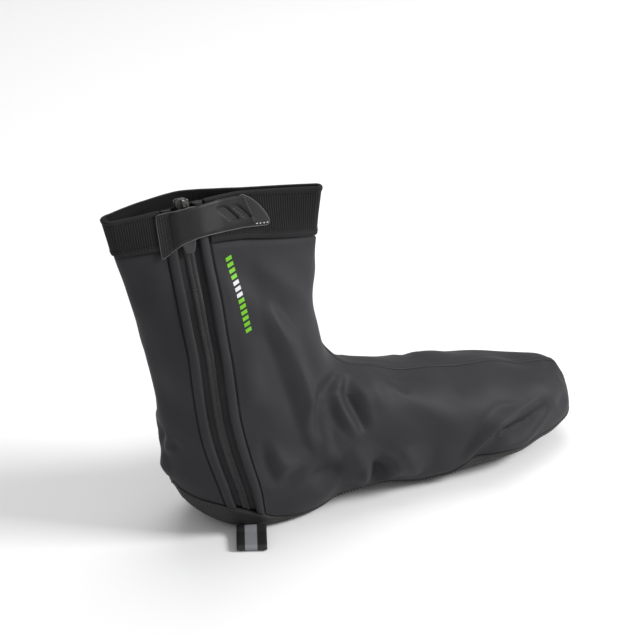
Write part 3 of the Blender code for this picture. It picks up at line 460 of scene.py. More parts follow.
def front_line():
    """The form's centre line from the toe over the instep to the collar, with arc shares."""
    hub = np.array([0.19 * LENGTH, 0.0, 0.26 * HEIGHT])
    toe = np.array([LENGTH, seam_level(np.array(LENGTH))])
    low = math.atan2(toe[1] - hub[2], toe[0] - hub[0])
    high = math.atan2(HEIGHT - hub[2], SHAFT["front"][-1] * ANKLE_DEPTH - hub[0])
    angle = np.linspace(low, high, RAYS)
    rays = np.stack([np.cos(angle), np.zeros(RAYS), np.sin(angle)], axis=-1)

    def place(offset):
        p = hub + offset
        up = np.clip(p[:, 2] / HEIGHT, 0, 1)
        p[:, 1] = np.tan(np.radians(curve(SHAFT, "twist", up, "up"))) * (p[:, 0] - ANKLE_DEPTH * 0.35)
        p[:, 2] = up * HEIGHT
        return p

    line = place(rays * crossing(place, rays, LENGTH)[:, None])[:, [0, 2]]
    line[0] = toe
    run = np.concatenate([[0], np.cumsum(np.hypot(*np.diff(line, axis=0).T))])
    return line, run / run[-1]


def body_levels(steps):
    """Sheets for the rows of the upper, from the seam at 0 to the cuff's lower edge at 1."""
    line, share = front_line()
    rear_seam = float(seam_level(np.array(0.0)))
    rear_cuff = float(cuff_level(np.array(-0.2 * ANKLE_DEPTH)))
    front_cuff = float(cuff_level(np.array(ANKLE_DEPTH)))
    last = float(np.interp(front_cuff, line[share > 0.5, 1], share[share > 0.5]))
    levels = []
    for step in steps:
        front_x = float(np.interp(step * last, share, line[:, 0]))
        front_z = float(np.interp(step * last, share, line[:, 1]))
        rear_z = rear_seam + (rear_cuff - rear_seam) * (0.55 * step + 0.45 * step**2)
        rear_x = float(curve(SHAFT, "rear", rear_z / HEIGHT, "up")) * ANKLE_DEPTH

        def level(x, step=step, front_x=front_x, front_z=front_z, rear_x=rear_x, rear_z=rear_z):
            straight = rear_z + (front_z - rear_z) * (x - rear_x) / (front_x - rear_x)
            seam_line = rear_seam + (line[0, 1] - rear_seam) * x / LENGTH
            cuff_line = rear_cuff + (front_cuff - rear_cuff) * (x / ANKLE_DEPTH + 0.2) / 1.2
            low = (seam_level(x) - seam_line) * (1 - step) ** 3
            high = (cuff_level(x) - cuff_line) * step**6
            return straight + low + high

        levels.append((level, (front_x + rear_x) / 2, (front_x - rear_x) / 2))
    return levels


def collar_middle():
    """Middle and half depth of the shaft just below the collar."""
    front = SHAFT["front"][-2] * ANKLE_DEPTH
    rear = SHAFT["rear"][-2] * ANKLE_DEPTH
    return (front + rear) / 2, (front - rear) / 2


def cuff_levels(shares):
    """Sheets for the rows of the cuff, from its lower edge at 0 to the collar at 1."""
    levels = []
    for share in shares:

        def level(x, share=share):
            return cuff_level(x) * (1 - share) + collar_level(x) * share

        levels.append((level, *collar_middle()))
    return levels


def side_levels(drops, rows):
    """Sheets for the rows of the sole's side, from the underside up to the seam: the upper ones
    lie at drops from the seam, the others are evenly spaced below."""
    levels = []
    whole = rows + len(drops)
    for k in range(whole):

        def level(x, k=k):
            low = floor_level(x) + GAP
            high = seam_level(x)
            edge = high - np.minimum(drops[-1], (high - low) * len(drops) / whole)
            if k < rows:
                return low + (edge - low) * k / rows
            drop = drops[whole - 1 - k] / drops[-1]
            return high - (high - edge) * drop

        levels.append((level, LENGTH / 2, LENGTH / 2))
    return levels


def arc(loop):
    """Distances along a closed loop of points, with its whole length last."""
    gaps = np.linalg.norm(np.roll(loop, -1, axis=0) - loop, axis=1)
    return np.concatenate([[0], np.cumsum(gaps)])


def on_loop(loop, run, place):
    """Points of a loop at distances along it."""
    closed = np.vstack([loop, loop[:1]])
    place = np.mod(place, run[-1])
    return np.stack([np.interp(place, run, closed[:, k]) for k in range(3)], axis=-1)


def landmarks(loop):
    """Distances along a loop of the front seam, the zip's middle and the rear."""
    run = arc(loop)
    nose = int(np.argmax(loop[:, 0]))
    front = run[nose]
    x = float(loop[nose, 0])
    swing = np.interp(x, [0.36 * LENGTH, 0.42 * LENGTH, 0.66 * LENGTH, 0.9 * LENGTH], [0, 1, 1, 0])
    front += SEAM_SWING * swing
    rear = run[int(np.argmin(loop[:, 0]))]
    ahead = loop[:, 0] - zip_place(loop[:, 2])
    for i in range(nose, nose + len(loop)):
        a, b = i % len(loop), (i + 1) % len(loop)
        if ahead[a] > 0 >= ahead[b]:
            part = ahead[a] / (ahead[a] - ahead[b])
            middle = run[a] + part * (run[a + 1] - run[a])
            break
    whole = run[-1]
    middle = front + (middle - front) % whole
    rear = front + (rear - front) % whole
    return run, front, middle, rear


class Rows:
    """Loops of the form on a stack of sheets, with the landmarks of each."""

    def __init__(self, levels):
        self.loops = []
        for level, centre, half in levels:
            loop = loop_on(level, centre, half)
            self.loops.append((loop, *landmarks(loop)))

    def grid(self, columns):
        """Points of each loop at the places that columns gives for its landmarks."""
        rows = []
        for loop, run, front, middle, rear in self.loops:
            rows.append(on_loop(loop, run, columns(front, middle, rear, run[-1])))
        return on_form(np.array(rows))

    def trail(self, mark, aside):
        """One point of each loop, a distance aside of the front seam 0, the zip 1 or the rear 2."""
        line = []
        for loop, run, *marks in self.loops:
            line.append(on_loop(loop, run, np.array([marks[mark] + aside]))[0])
        return on_form(np.array(line))


def on_form(points):
    """Points moved along z-free directions onto the form, so that rows stay on their sheets."""
    d = 0.0002
    for _ in range(3):
        x, y, z = points[..., 0], points[..., 1], points[..., 2]
        value = form(x, y, z)
        along = (form(x + d, y, z) - form(x - d, y, z)) / (2 * d)
        across = (form(x, y + d, z) - form(x, y - d, z)) / (2 * d)
        size = np.maximum(along**2 + across**2, 1e-3)
        move = np.clip(value / size, -0.0004, 0.0004)
        points = points - np.stack([along * move, across * move, np.zeros_like(move)], axis=-1)
    return points


def near_path(points, path):
    """Distance of points to a path, and the share of the way along it of the nearest place."""
    best = np.full(points.shape[:-1], 1e9)
    share = np.zeros(points.shape[:-1])
    lengths = np.linalg.norm(np.diff(path, axis=0), axis=1)
    starts = np.concatenate([[0], np.cumsum(lengths)])
    for k in range(len(path) - 1):
        way = path[k + 1] - path[k]
        t = np.clip(((points - path[k]) @ way) / way.dot(way), 0, 1)
        gap = np.linalg.norm(points - path[k] - t[..., None] * way, axis=-1)
        closer = gap < best
        best = np.where(closer, gap, best)
        share = np.where(closer, (starts[k] + t * lengths[k]) / starts[-1], share)
    return best, share


def smooth_path(points, rounds=2):
    """Path with its corners cut, its ends kept."""
    path = np.asarray(points, float)
    for _ in range(rounds):
        near = path[:-1] * 0.75 + path[1:] * 0.25
        far = path[:-1] * 0.25 + path[1:] * 0.75
        middle = np.stack([near, far], axis=1).reshape(-1, path.shape[1])
        path = np.vstack([path[:1], middle, path[-1:]])
    return path


def relief(points, depth):
    """How far the creased cloth stands off the plain form, fading out at floor and collar."""
    x, y, z = points[..., 0], points[..., 1], points[..., 2]
    total = np.zeros(points.shape[:-1])
    for share, width, path in CREASES:
        line = smooth_path(np.array(path) * [LENGTH, BALL, HEIGHT])
        middle = line.mean(axis=0)
        reach = np.linalg.norm(line - middle, axis=1).max() + width * 0.003
        close = np.linalg.norm(points - middle, axis=-1) < reach
        if not close.any():
            continue
        gap, place = near_path(points[close], line)
        middle_share = np.sin(np.clip(place, 0.0, 1.0) * math.pi)
        t = gap / (width * 0.001 * (0.6 + 0.4 * middle_share))
        taper = np.clip(middle_share, 0.02, 1.0) ** 0.7
        shape = np.exp(-(t**1.5)) - 0.28 * np.exp(-(((t - 1.9) / 0.75) ** 2))
        total[close] -= share * shape * taper
    for along, across, up, phase, share in CLOTH_WAVES:
        turn = 2 * math.pi * (x * along + y * across + z * up)
        total += share * np.sin(turn + phase)
    low = np.clip((z - floor_level(x)) / 0.009, 0, 1)
    high = np.clip((cuff_level(x) - z) / 0.022, 0, 1)
    beside = np.clip(np.abs(x - zip_place(z)) / 0.020, 0, 1)
    still = np.where((y < 0) & (x < 0.4 * LENGTH), 0.35 + 0.65 * beside**2, 1.0)
    return total * depth * low**1.2 * high**1.2 * still


def cells(shape, keep, closed=True):
    """Four-sided faces of a grid, closed round its columns or open, where keep says so."""
    number = np.arange(shape[0] * shape[1]).reshape(shape)
    faces = []
    for j in range(shape[0] - 1):
        for i in range(shape[1] - (0 if closed else 1)):
            k = (i + 1) % shape[1]
            if keep(j, i):
                faces.append((number[j, i], number[j, k], number[j + 1, k], number[j + 1, i]))
    return faces


def plain_mesh(name, points, faces, finishes, second=None, smooth=True):
    """Mesh object from points in the form's frame, its faces pointing out, loose points gone."""
    mesh = bpy.data.meshes.new(name)
    mesh.from_pydata((np.asarray(points) - ORIGIN).tolist(), [], [tuple(map(int, f)) for f in faces])
    for finish in finishes:
        mesh.materials.append(finish)
    if second is not None:
        mesh.polygons.foreach_set("material_index", second)
    return mesh


def tidy_mesh(name, mesh, smooth=True, angle=50.0):
    """Object of a mesh after loose points are gone and its faces point out."""
    work = bmesh.new()
    work.from_mesh(mesh)
    loose = [v for v in work.verts if not v.link_faces]
    bmesh.ops.delete(work, geom=loose, context="VERTS")
    bmesh.ops.recalc_face_normals(work, faces=work.faces)
    work.to_mesh(mesh)
    work.free()
    if smooth:
        mesh.shade_smooth()
        mesh.set_sharp_from_angle(angle=math.radians(angle))
    made = bpy.data.objects.new(name, mesh)
    bpy.context.scene.collection.objects.link(made)
    return made


def thick(name, outer, inner, faces, finishes, values=None, angle=50.0):
    """Closed shell between two copies of one set of faces; the inner side has the last finish."""
    count = len(outer)
    used = {}
    for face in faces:
        for a, b in zip(face, face[1:] + face[:1]):
            used[(a, b)] = used.get((a, b), 0) + 1
    rim = [edge for edge in used if (edge[1], edge[0]) not in used]
    solid = [tuple(face) for face in faces]
    solid += [tuple(v + count for v in reversed(face)) for face in faces]
    solid += [(b, a, a + count, b + count) for a, b in rim]
    second = [0] * len(faces) + [len(finishes) - 1] * len(faces) + [0] * len(rim)
    mesh = plain_mesh(name, np.vstack([outer, inner]), solid, finishes, second)
    for key, column in (values or {}).items():
        attribute = mesh.attributes.new(key, "FLOAT", "POINT")
        attribute.data.foreach_set("value", np.asarray(column, np.float32))
    return tidy_mesh(name, mesh, angle=angle)


def flat_list(grid):
    """Points of a grid as one list."""
    return grid.reshape(-1, grid.shape[-1])


def within(polygon, x, y):
    """Whether a point lies inside a polygon."""
    inside = False
    for (ax, ay), (bx, by) in zip(polygon, polygon[1:] + polygon[:1]):
        if (ay > y) != (by > y) and x < (bx - ax) * (y - ay) / (by - ay) + ax:
            inside = not inside
    return inside


class Nodes:
    """Short calls to make and join the nodes of one tree."""

    def __init__(self, tree):
        self.tree = tree

    def add(self, kind, inputs=None, **settings):
        """Add a node, with its settings and the values or links of its inputs."""
        node = self.tree.nodes.new(kind)
        for key, value in settings.items():
            setattr(node, key, value)
        for key, value in (inputs or {}).items():
            if isinstance(value, bpy.types.NodeSocket):
                self.tree.links.new(value, node.inputs[key])
            else:
                node.inputs[key].default_value = value
        return node

    def math(self, operation, first, second=0.0):
        """Result of one operation on two numbers."""
        return self.add("ShaderNodeMath", {0: first, 1: second}, operation=operation).outputs[0]

    def range(self, value, low, high, bottom=0.0, top=1.0):
        """Value mapped from one range to another, held at its ends."""
        sockets = {"Value": value, "From Min": low, "From Max": high, "To Min": bottom, "To Max": top}
        return self.add("ShaderNodeMapRange", sockets).outputs["Result"]

    def blend(self, share, first, second):
        """Colour between two colours."""
        node = self.add("ShaderNodeMix", data_type="RGBA")
        for key, value in ((0, share), (6, first), (7, second)):
            if isinstance(value, bpy.types.NodeSocket):
                self.tree.links.new(value, node.inputs[key])
            else:
                node.inputs[key].default_value = value
        return node.outputs[2]

    def noise(self, vector, scale, detail=2.0, rough=0.5):
        """Noise of a scale, from 0 to 1."""
        sockets = {"Vector": vector, "Scale": scale, "Detail": detail, "Roughness": rough}
        return self.add("ShaderNodeTexNoise", sockets).outputs["Fac"]


def group(name, inputs, outputs, fill):
    """Shader node group, built once, with named inputs and outputs."""
    tree = bpy.data.node_groups.get(name)
    if tree:
        return tree
    tree = bpy.data.node_groups.new(name, "ShaderNodeTree")
    for label, default in inputs:
        socket = tree.interface.new_socket(label, in_out="INPUT", socket_type="NodeSocketFloat")
        socket.default_value = default
    for label in outputs:
        tree.interface.new_socket(label, in_out="OUTPUT", socket_type="NodeSocketFloat")
    nodes = Nodes(tree)
    start = nodes.add("NodeGroupInput")
    end = nodes.add("NodeGroupOutput")
    for label, socket in fill(nodes, start.outputs).items():
        tree.links.new(socket, end.inputs[label])
    return tree


def cloth_grain():
    """Fine grain of a dense cloth with broad uneven tone."""

    def fill(nodes, sockets):
        place = nodes.add("ShaderNodeTexCoord").outputs["Object"]
        fine = nodes.noise(place, sockets["Fine"], 3.0, 0.6)
        broad = nodes.noise(place, sockets["Broad"], 2.0, 0.5)
        slub = nodes.noise(place, nodes.math("MULTIPLY", sockets["Fine"], 0.22), 2.0, 0.5)
        height = nodes.math("ADD", nodes.math("MULTIPLY", fine, 0.7), nodes.math("MULTIPLY", slub, 0.3))
        tone = nodes.math("ADD", nodes.math("MULTIPLY", broad, 0.65), nodes.math("MULTIPLY", fine, 0.35))
        return {"Height": height, "Tone": nodes.range(tone, 0.32, 0.68)}

    return group("Cloth grain", [("Fine", 1500.0), ("Broad", 30.0)], ["Height", "Tone"], fill)


def thread_weave():
    """Crossing threads of a woven band, along two attributes in metres."""

    def fill(nodes, sockets):
        along = nodes.add("ShaderNodeAttribute", attribute_name="along").outputs["Fac"]
        across = nodes.add("ShaderNodeAttribute", attribute_name="across").outputs["Fac"]
        warp = nodes.math("SINE", nodes.math("MULTIPLY", across, sockets["Warp"]))
        weft = nodes.math("SINE", nodes.math("MULTIPLY", along, sockets["Weft"]))
        product = nodes.math("MULTIPLY", warp, weft)
        height = nodes.math("ADD", nodes.math("MULTIPLY", product, 0.35), nodes.math("MULTIPLY", weft, 0.15))
        return {"Height": nodes.math("ADD", height, 0.5)}

    return group("Thread weave", [("Warp", 7000.0), ("Weft", 7000.0)], ["Height"], fill)


class Finish:
    """One material with its surface shader and the nodes that feed it."""

    def __init__(self, name, rough=0.7, metallic=0.0, sheen=0.0, coat=0.0, specular=0.35):
        self.material = bpy.data.materials.new(name)
        self.material.use_nodes = True
        self.nodes = Nodes(self.material.node_tree)
        self.surface = self.material.node_tree.nodes["Principled BSDF"]
        self.surface.inputs["Roughness"].default_value = rough
        self.surface.inputs["Metallic"].default_value = metallic
        self.surface.inputs["Sheen Weight"].default_value = sheen
        self.surface.inputs["Sheen Roughness"].default_value = 0.5
        self.surface.inputs["Coat Weight"].default_value = coat
        self.surface.inputs["Specular IOR Level"].default_value = specular

    def use(self, tree, **values):
        """Place a node group with its own values."""
        node = self.nodes.add("ShaderNodeGroup", node_tree=tree)
        for label, value in values.items():
            node.inputs[label].default_value = value
        return node.outputs

    def tone(self, share, colour, dark, light):
        """Base colour between a darker and a lighter tone of one colour."""
        low = (*[c * dark for c in colour], 1.0)
        high = (*[min(c * light, 1.0) for c in colour], 1.0)
        mixed = self.nodes.blend(share, low, high)
        self.nodes.tree.links.new(mixed, self.surface.inputs["Base Color"])
        return mixed

    def over(self, colour, share, added):
        """Another colour laid over the base colour where share says."""
        mixed = self.nodes.blend(share, colour, (*added, 1.0))
        self.nodes.tree.links.new(mixed, self.surface.inputs["Base Color"])
        return mixed

    def rough(self, share, low, high):
        """Roughness that changes with a share."""
        value = self.nodes.range(share, 0.0, 1.0, low, high)
        self.nodes.tree.links.new(value, self.surface.inputs["Roughness"])

    def bump(self, height, distance, strength=0.5):
        """Fine relief from a height."""
        sockets = {"Height": height, "Distance": distance, "Strength": strength}
        node = self.nodes.add("ShaderNodeBump", sockets)
        self.nodes.tree.links.new(node.outputs["Normal"], self.surface.inputs["Normal"])

    def attribute(self, name):
        """A number kept at the mesh's points."""
        return self.nodes.add("ShaderNodeAttribute", attribute_name=name).outputs["Fac"]


def colour_of(name):
    """A colour of the panel's settings."""
    return tuple(getattr(bpy.context.scene.overshoe_colours, name))


def size_of(name):
    """A size of the panel's settings."""
    return getattr(bpy.context.scene.overshoe_sizes, name)


def made_once(build):
    """Keep what a builder of finishes or rows returns the first time."""
    kept = {}

    def ask():
        if "it" not in kept:
            kept["it"] = build()
        return kept["it"]

    return ask


@made_once
def softshell():
    """Charcoal softshell: dense, matt, a little lighter on the ridges of its creases."""
    finish = Finish("softshell", sheen=0.01, specular=0.26)
    grain = finish.use(cloth_grain(), Fine=1700.0, Broad=26.0)
    base = finish.tone(grain["Tone"], colour_of("softshell"), 0.88, 1.14)
    # Painted highlight: crease ridges, where the relief stands out, are mixed towards a lighter tone.
    crest = finish.nodes.range(finish.attribute("relief"), 0.0, 0.0016, 0.0, 0.28)
    base = finish.over(base, crest, [c * 1.5 for c in colour_of("softshell")])
    # Painted shade: grooves beside the welts, along the front seam and at the sole's seam are darkened.
    pit_shade = finish.nodes.range(finish.attribute("groove"), 0.0, 1.0, 0.0, 0.75)
    finish.over(base, pit_shade, [c * 0.25 for c in colour_of("softshell")])
    finish.rough(grain["Tone"], 0.56, 0.70)
    finish.bump(grain["Height"], 0.00012, 0.45)
    return finish.material


@made_once
def lining():
    """Brushed lining inside the upper."""
    finish = Finish("lining", rough=0.95, sheen=0.3, specular=0.3)
    grain = finish.use(cloth_grain(), Fine=900.0, Broad=40.0)
    finish.tone(grain["Tone"], colour_of("lining"), 0.75, 1.2)
    finish.bump(grain["Height"], 0.0004, 0.6)
    return finish.material


@made_once
def sole_fabric():
    """Coated hard-wearing cloth of the sole, slightly brown."""
    finish = Finish("sole_fabric", specular=0.4)
    grain = finish.use(cloth_grain(), Fine=1100.0, Broad=34.0)
    base = finish.tone(grain["Tone"], colour_of("sole"), 0.85, 1.18)
    # Painted highlight on the raised hem band along the seam.
    hem = finish.nodes.range(finish.attribute("hem"), 0.0, 1.0, 0.0, 0.8)
    base = finish.over(base, hem, [c * 1.7 for c in colour_of("sole")])
    # Painted shade along the seam's edge.
    pit_shade = finish.nodes.range(finish.attribute("groove"), 0.0, 1.0, 0.0, 0.85)
    finish.over(base, pit_shade, [c * 0.2 for c in colour_of("sole")])
    finish.rough(grain["Tone"], 0.60, 0.78)
    finish.bump(grain["Height"], 0.00018, 0.5)
    return finish.material


@made_once
def elastic():
    """Near-black knitted elastic."""
    finish = Finish("elastic", specular=0.35)
    grain = finish.use(cloth_grain(), Fine=2200.0, Broad=60.0)
    base = finish.tone(grain["Tone"], colour_of("elastic"), 0.8, 1.25)
    # Painted highlight: the crests of the ribs are mixed towards a lighter tone.
    crest = finish.nodes.range(finish.attribute("rib"), 0.35, 1.0, 0.0, 0.6)
    base = finish.over(base, crest, [c * 2.6 for c in colour_of("elastic")])
    border = finish.nodes.range(finish.attribute("border"), 0.0, 1.0, 0.0, 0.5)
    finish.over(base, border, [c * 2.2 for c in colour_of("elastic")])
    finish.rough(grain["Tone"], 0.78, 0.92)
    finish.bump(grain["Height"], 0.0002, 0.6)
    return finish.material


@made_once
def tape_cloth():
    """Dark woven tape of the zip."""
    finish = Finish("tape_cloth", specular=0.4)
    weave = finish.use(thread_weave(), Warp=9000.0, Weft=9000.0)
    grain = finish.use(cloth_grain(), Fine=1800.0, Broad=50.0)
    finish.tone(grain["Tone"], colour_of("tape"), 0.8, 1.3)
    finish.rough(weave["Height"], 0.85, 0.62)
    finish.bump(weave["Height"], 0.0002, 0.6)
    return finish.material


@made_once
def coil_plastic():
    """Black nylon of the coil, with a soft gloss."""
    finish = Finish("coil_plastic", specular=0.5)
    grain = finish.use(cloth_grain(), Fine=700.0, Broad=90.0)
    finish.tone(grain["Tone"], colour_of("coil"), 0.8, 1.35)
    finish.rough(grain["Tone"], 0.42, 0.58)
    return finish.material


@made_once
def slider_metal():
    """Plated metal, worn a little brighter in patches."""
    finish = Finish("slider_metal", metallic=1.0)
    grain = finish.use(cloth_grain(), Fine=1200.0, Broad=260.0)
    finish.tone(grain["Tone"], colour_of("metal"), 0.55, 1.25)
    finish.rough(grain["Tone"], 0.30, 0.16)
    finish.bump(grain["Height"], 0.00004, 0.3)
    return finish.material


@made_once
def puller_rubber():
    """Moulded rubber of the puller."""
    finish = Finish("puller_rubber", specular=0.45)
    grain = finish.use(cloth_grain(), Fine=1400.0, Broad=120.0)
    finish.tone(grain["Tone"], colour_of("rubber"), 0.85, 1.2)
    finish.rough(grain["Tone"], 0.46, 0.60)
    finish.bump(grain["Height"], 0.00006, 0.4)
    return finish.material


@made_once
def tab_mesh():
    """Dark mesh of the closure tab, with slanted ribs."""
    finish = Finish("tab_mesh", specular=0.4)
    grain = finish.use(cloth_grain(), Fine=2000.0, Broad=80.0)
    base = finish.tone(grain["Tone"], colour_of("mesh"), 0.8, 1.2)
    # Painted highlight: the crests of the ribs are mixed towards a lighter tone.
    crest = finish.nodes.range(finish.attribute("rib"), 0.3, 1.0, 0.0, 0.75)
    finish.over(base, crest, [c * 2.4 for c in colour_of("mesh")])
    finish.rough(grain["Tone"], 0.62, 0.8)
    finish.bump(grain["Height"], 0.00015, 0.5)
    return finish.material


@made_once
def overlay_coat():
    """Smooth coated overlay of the tab."""
    finish = Finish("overlay_coat", specular=0.28)
    grain = finish.use(cloth_grain(), Fine=1500.0, Broad=70.0)
    finish.tone(grain["Tone"], colour_of("overlay"), 0.92, 1.1)
    finish.rough(grain["Tone"], 0.46, 0.58)
    finish.bump(grain["Height"], 0.00005, 0.35)
    return finish.material


@made_once
def webbing_cloth():
    """Webbing with a silver stripe between two dark edges."""
    finish = Finish("webbing_cloth", specular=0.5)
    weave = finish.use(thread_weave(), Warp=6500.0, Weft=5200.0)
    grain = finish.use(cloth_grain(), Fine=1500.0, Broad=90.0)
    base = finish.tone(grain["Tone"], colour_of("webbing"), 0.75, 1.3)
    across = finish.attribute("across")
    near = finish.nodes.range(across, 0.0054, 0.0057)
    far = finish.nodes.range(across, 0.0134, 0.0137, 1.0, 0.0)
    stripe = finish.nodes.math("MULTIPLY", near, far)
    finish.over(base, stripe, colour_of("silver"))
    finish.rough(weave["Height"], 0.72, 0.45)
    finish.bump(weave["Height"], 0.00022, 0.6)
    return finish.material


def plain_finish(name, colour, low, high, fine, bump):
    """Simple grained finish of one colour."""
    finish = Finish(name)
    grain = finish.use(cloth_grain(), Fine=fine, Broad=fine / 12)
    finish.tone(grain["Tone"], colour_of(colour), 0.85, 1.15)
    finish.rough(grain["Tone"], low, high)
    finish.bump(grain["Height"], bump, 0.5)
    return finish.material


@made_once
def thread():
    """Sewing thread."""
    return plain_finish("thread", "thread", 0.6, 0.75, 2600.0, 0.0001)


@made_once
def dark_thread():
    """Thread in the tone of the cloth."""
    return plain_finish("dark_thread", "dark_thread", 0.6, 0.75, 2600.0, 0.0001)


@made_once
def piping():
    """Light piping along the tab's edges."""
    return plain_finish("piping", "piping", 0.5, 0.65, 2200.0, 0.0001)


@made_once
def lime_print():
    """Lime print on the cloth."""
    return plain_finish("lime_print", "lime", 0.45, 0.55, 1700.0, 0.00008)


@made_once
def white_print():
    """White print on the cloth."""
    return plain_finish("white_print", "white", 0.45, 0.55, 1700.0, 0.00008)


BODY = made_once(
    lambda: Rows(
        body_levels(np.concatenate([[0.0, 0.0022, 0.005, 0.009, 0.014], np.linspace(0.021, 1, BODY_STEPS)]))
    )
)
CUFF_SHARES = [0.0, 0.02, 0.045, 0.08, 0.11, 0.14, 0.17, 0.22, 0.30, 0.38, 0.46, 0.54, 0.62, 0.70, 0.77, 0.83]
CUFF_SHARES += [0.865, 0.885, 0.90, 0.92, 0.945, 0.97, 0.99, 1.0]
CUFF = made_once(lambda: Rows(cuff_levels(CUFF_SHARES)))
SOLE_DROPS = (0.0, 0.0005, 0.0010, 0.0018, 0.0028, 0.0038, 0.0046, 0.0054)
SOLE = made_once(lambda: Rows(side_levels(SOLE_DROPS, 9)))

# Profile across a welt: distance from the zip's opening, height over the cloth, both in metres.
WELT_ACROSS = (0.0, 0.00015, 0.0006, 0.0014, 0.0028, 0.0042, 0.0054, 0.0061, 0.0066, 0.0070, 0.0074, 0.0080, 0.0090)
WELT_RISE = (-0.0002, 0.0004, 0.0010, 0.0013, 0.0014, 0.0013, 0.0011, 0.0007, 0.0001, -0.0005, -0.0003, 0.0001, 0.0)
# Profile across the front seam, in shares of its width and metres.
RIDGE_ACROSS = (-0.80, -0.62, -0.50, -0.42, -0.30, -0.10, 0.10, 0.30, 0.42, 0.50, 0.62, 0.80)
RIDGE_RISE = (0.0, 0.0002, 0.0006, 0.0008, 0.0008, 0.0008, 0.0008, 0.0006, 0.0001, -0.0004, -0.0001, 0.0)


def seam_paint_share(x):
    """How plainly the sole's seam shows: at heel and toe, not where the upper hangs over it."""
    return np.interp(x / LENGTH, [0.24, 0.30, 0.58, 0.64], [1.0, 0.25, 0.25, 1.0])


def upper_columns(front, middle, rear, whole):
    """Places round a loop of the upper's columns, from the front seam round the outer side."""
    ridge = front + SEAM_WIDTH * np.array(RIDGE_ACROSS)
    welt = np.array(WELT_ACROSS)
    edge = ZIP_OPENING / 2
    panel = np.linspace(ridge[-1], middle - edge - welt[-1], PANEL_COLUMNS)[1:-1]
    heel = np.linspace(middle + edge + welt[-1], rear, HEEL_COLUMNS)[1:]
    inner = np.linspace(rear, whole + ridge[0], INNER_COLUMNS)[1:-1]
    return np.concatenate([ridge, panel, middle - edge - welt[::-1], middle + edge + welt, heel, inner])


SLOT = len(RIDGE_ACROSS) + PANEL_COLUMNS - 2 + len(WELT_ACROSS) - 1


def pieces_of(made, body, *nodes, slot):
    """Let a piece ride on a body, stand for its solids and take a slot's finish."""
    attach(made, body)
    if nodes:
        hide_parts(*nodes)
    return made


def make_upper():
    """Softshell wall with its welts, front seam and creases, open at the zip and the collar."""
    tuck = CUFF_WALL - CUFF_PROUD + GAP
    under_cuff = 7
    cuff = Rows(cuff_levels([0.004, 0.03, 0.08, 0.2, 0.5, 0.86, 0.97]))
    rows = Rows([])
    rows.loops = BODY().loops[:-1] + cuff.loops
    grid = rows.grid(upper_columns)
    last = len(grid) - under_cuff
    normal = outward(grid)
    lift = relief(grid, size_of("crease_depth"))
    count = grid.shape[1]
    extra = np.zeros(grid.shape[:2])
    # Share of painted shade in grooves: the welts' stitch grooves, the front seam's groove and the rows along the
    # sole's seam.
    groove = np.zeros(grid.shape[:2])
    welt = np.array(WELT_RISE) * size_of("welt_rise") / max(WELT_RISE)
    first = SLOT - len(welt) + 1
    extra[:, first : SLOT + 1] = welt[::-1]
    extra[:, SLOT + 1 : SLOT + 1 + len(welt)] = welt
    pit_shade = np.interp(WELT_ACROSS, [0.0064, 0.0069, 0.0071, 0.0078], [0, 1, 1, 0])
    groove[:, first : SLOT + 1] = pit_shade[::-1]
    groove[:, SLOT + 1 : SLOT + 1 + len(welt)] = pit_shade
    extra[:last, : len(RIDGE_RISE)] = RIDGE_RISE
    groove[:last, : len(RIDGE_RISE)] = np.interp(RIDGE_ACROSS, [0.40, 0.48, 0.52, 0.60], [0, 1, 1, 0])
    extra[0] -= 0.0006
    extra[1] -= 0.0002
    # The lowest rows take painted shade along the sole's seam, weak where the upper hangs over it.
    paint_share = seam_paint_share(grid[0, :, 0])
    groove[0] = paint_share
    groove[1] = np.maximum(groove[1], 0.5 * paint_share)
    beside = slice(first, SLOT + 1 + len(welt))
    outside = np.ones(count, bool)
    outside[beside] = False
    extra[last:, outside] = -tuck
    inner = np.full(grid.shape[:2], -WALL)
    inner[last:, outside] -= tuck
    grid[0, :, 2] += GAP / 2
    out = grid + normal * (lift + extra)[..., None]
    back = grid + normal * (lift + inner)[..., None]

    def keep(j, i):
        near_zip = first <= i < SLOT + len(welt)
        return i != SLOT and (j < last + 3 or near_zip)

    faces = cells(grid.shape[:2], keep)
    zero = np.zeros(count * len(grid))
    # The relief also drives the painted highlight on the crease ridges; the groove values are painted shade.
    values = {
        "relief": np.concatenate([lift.ravel(), zero]),
        "groove": np.concatenate([groove.ravel(), zero]),
    }
    made = thick("upper_shell", flat_list(out), flat_list(back), faces, [softshell(), lining()], values)
    return pieces_of(made, "shoe", "upper", slot="softshell")


def sole_columns(front, middle, rear, whole):
    """Places round a loop of the sole's columns."""
    return front + np.linspace(0, whole, 280, endpoint=False)


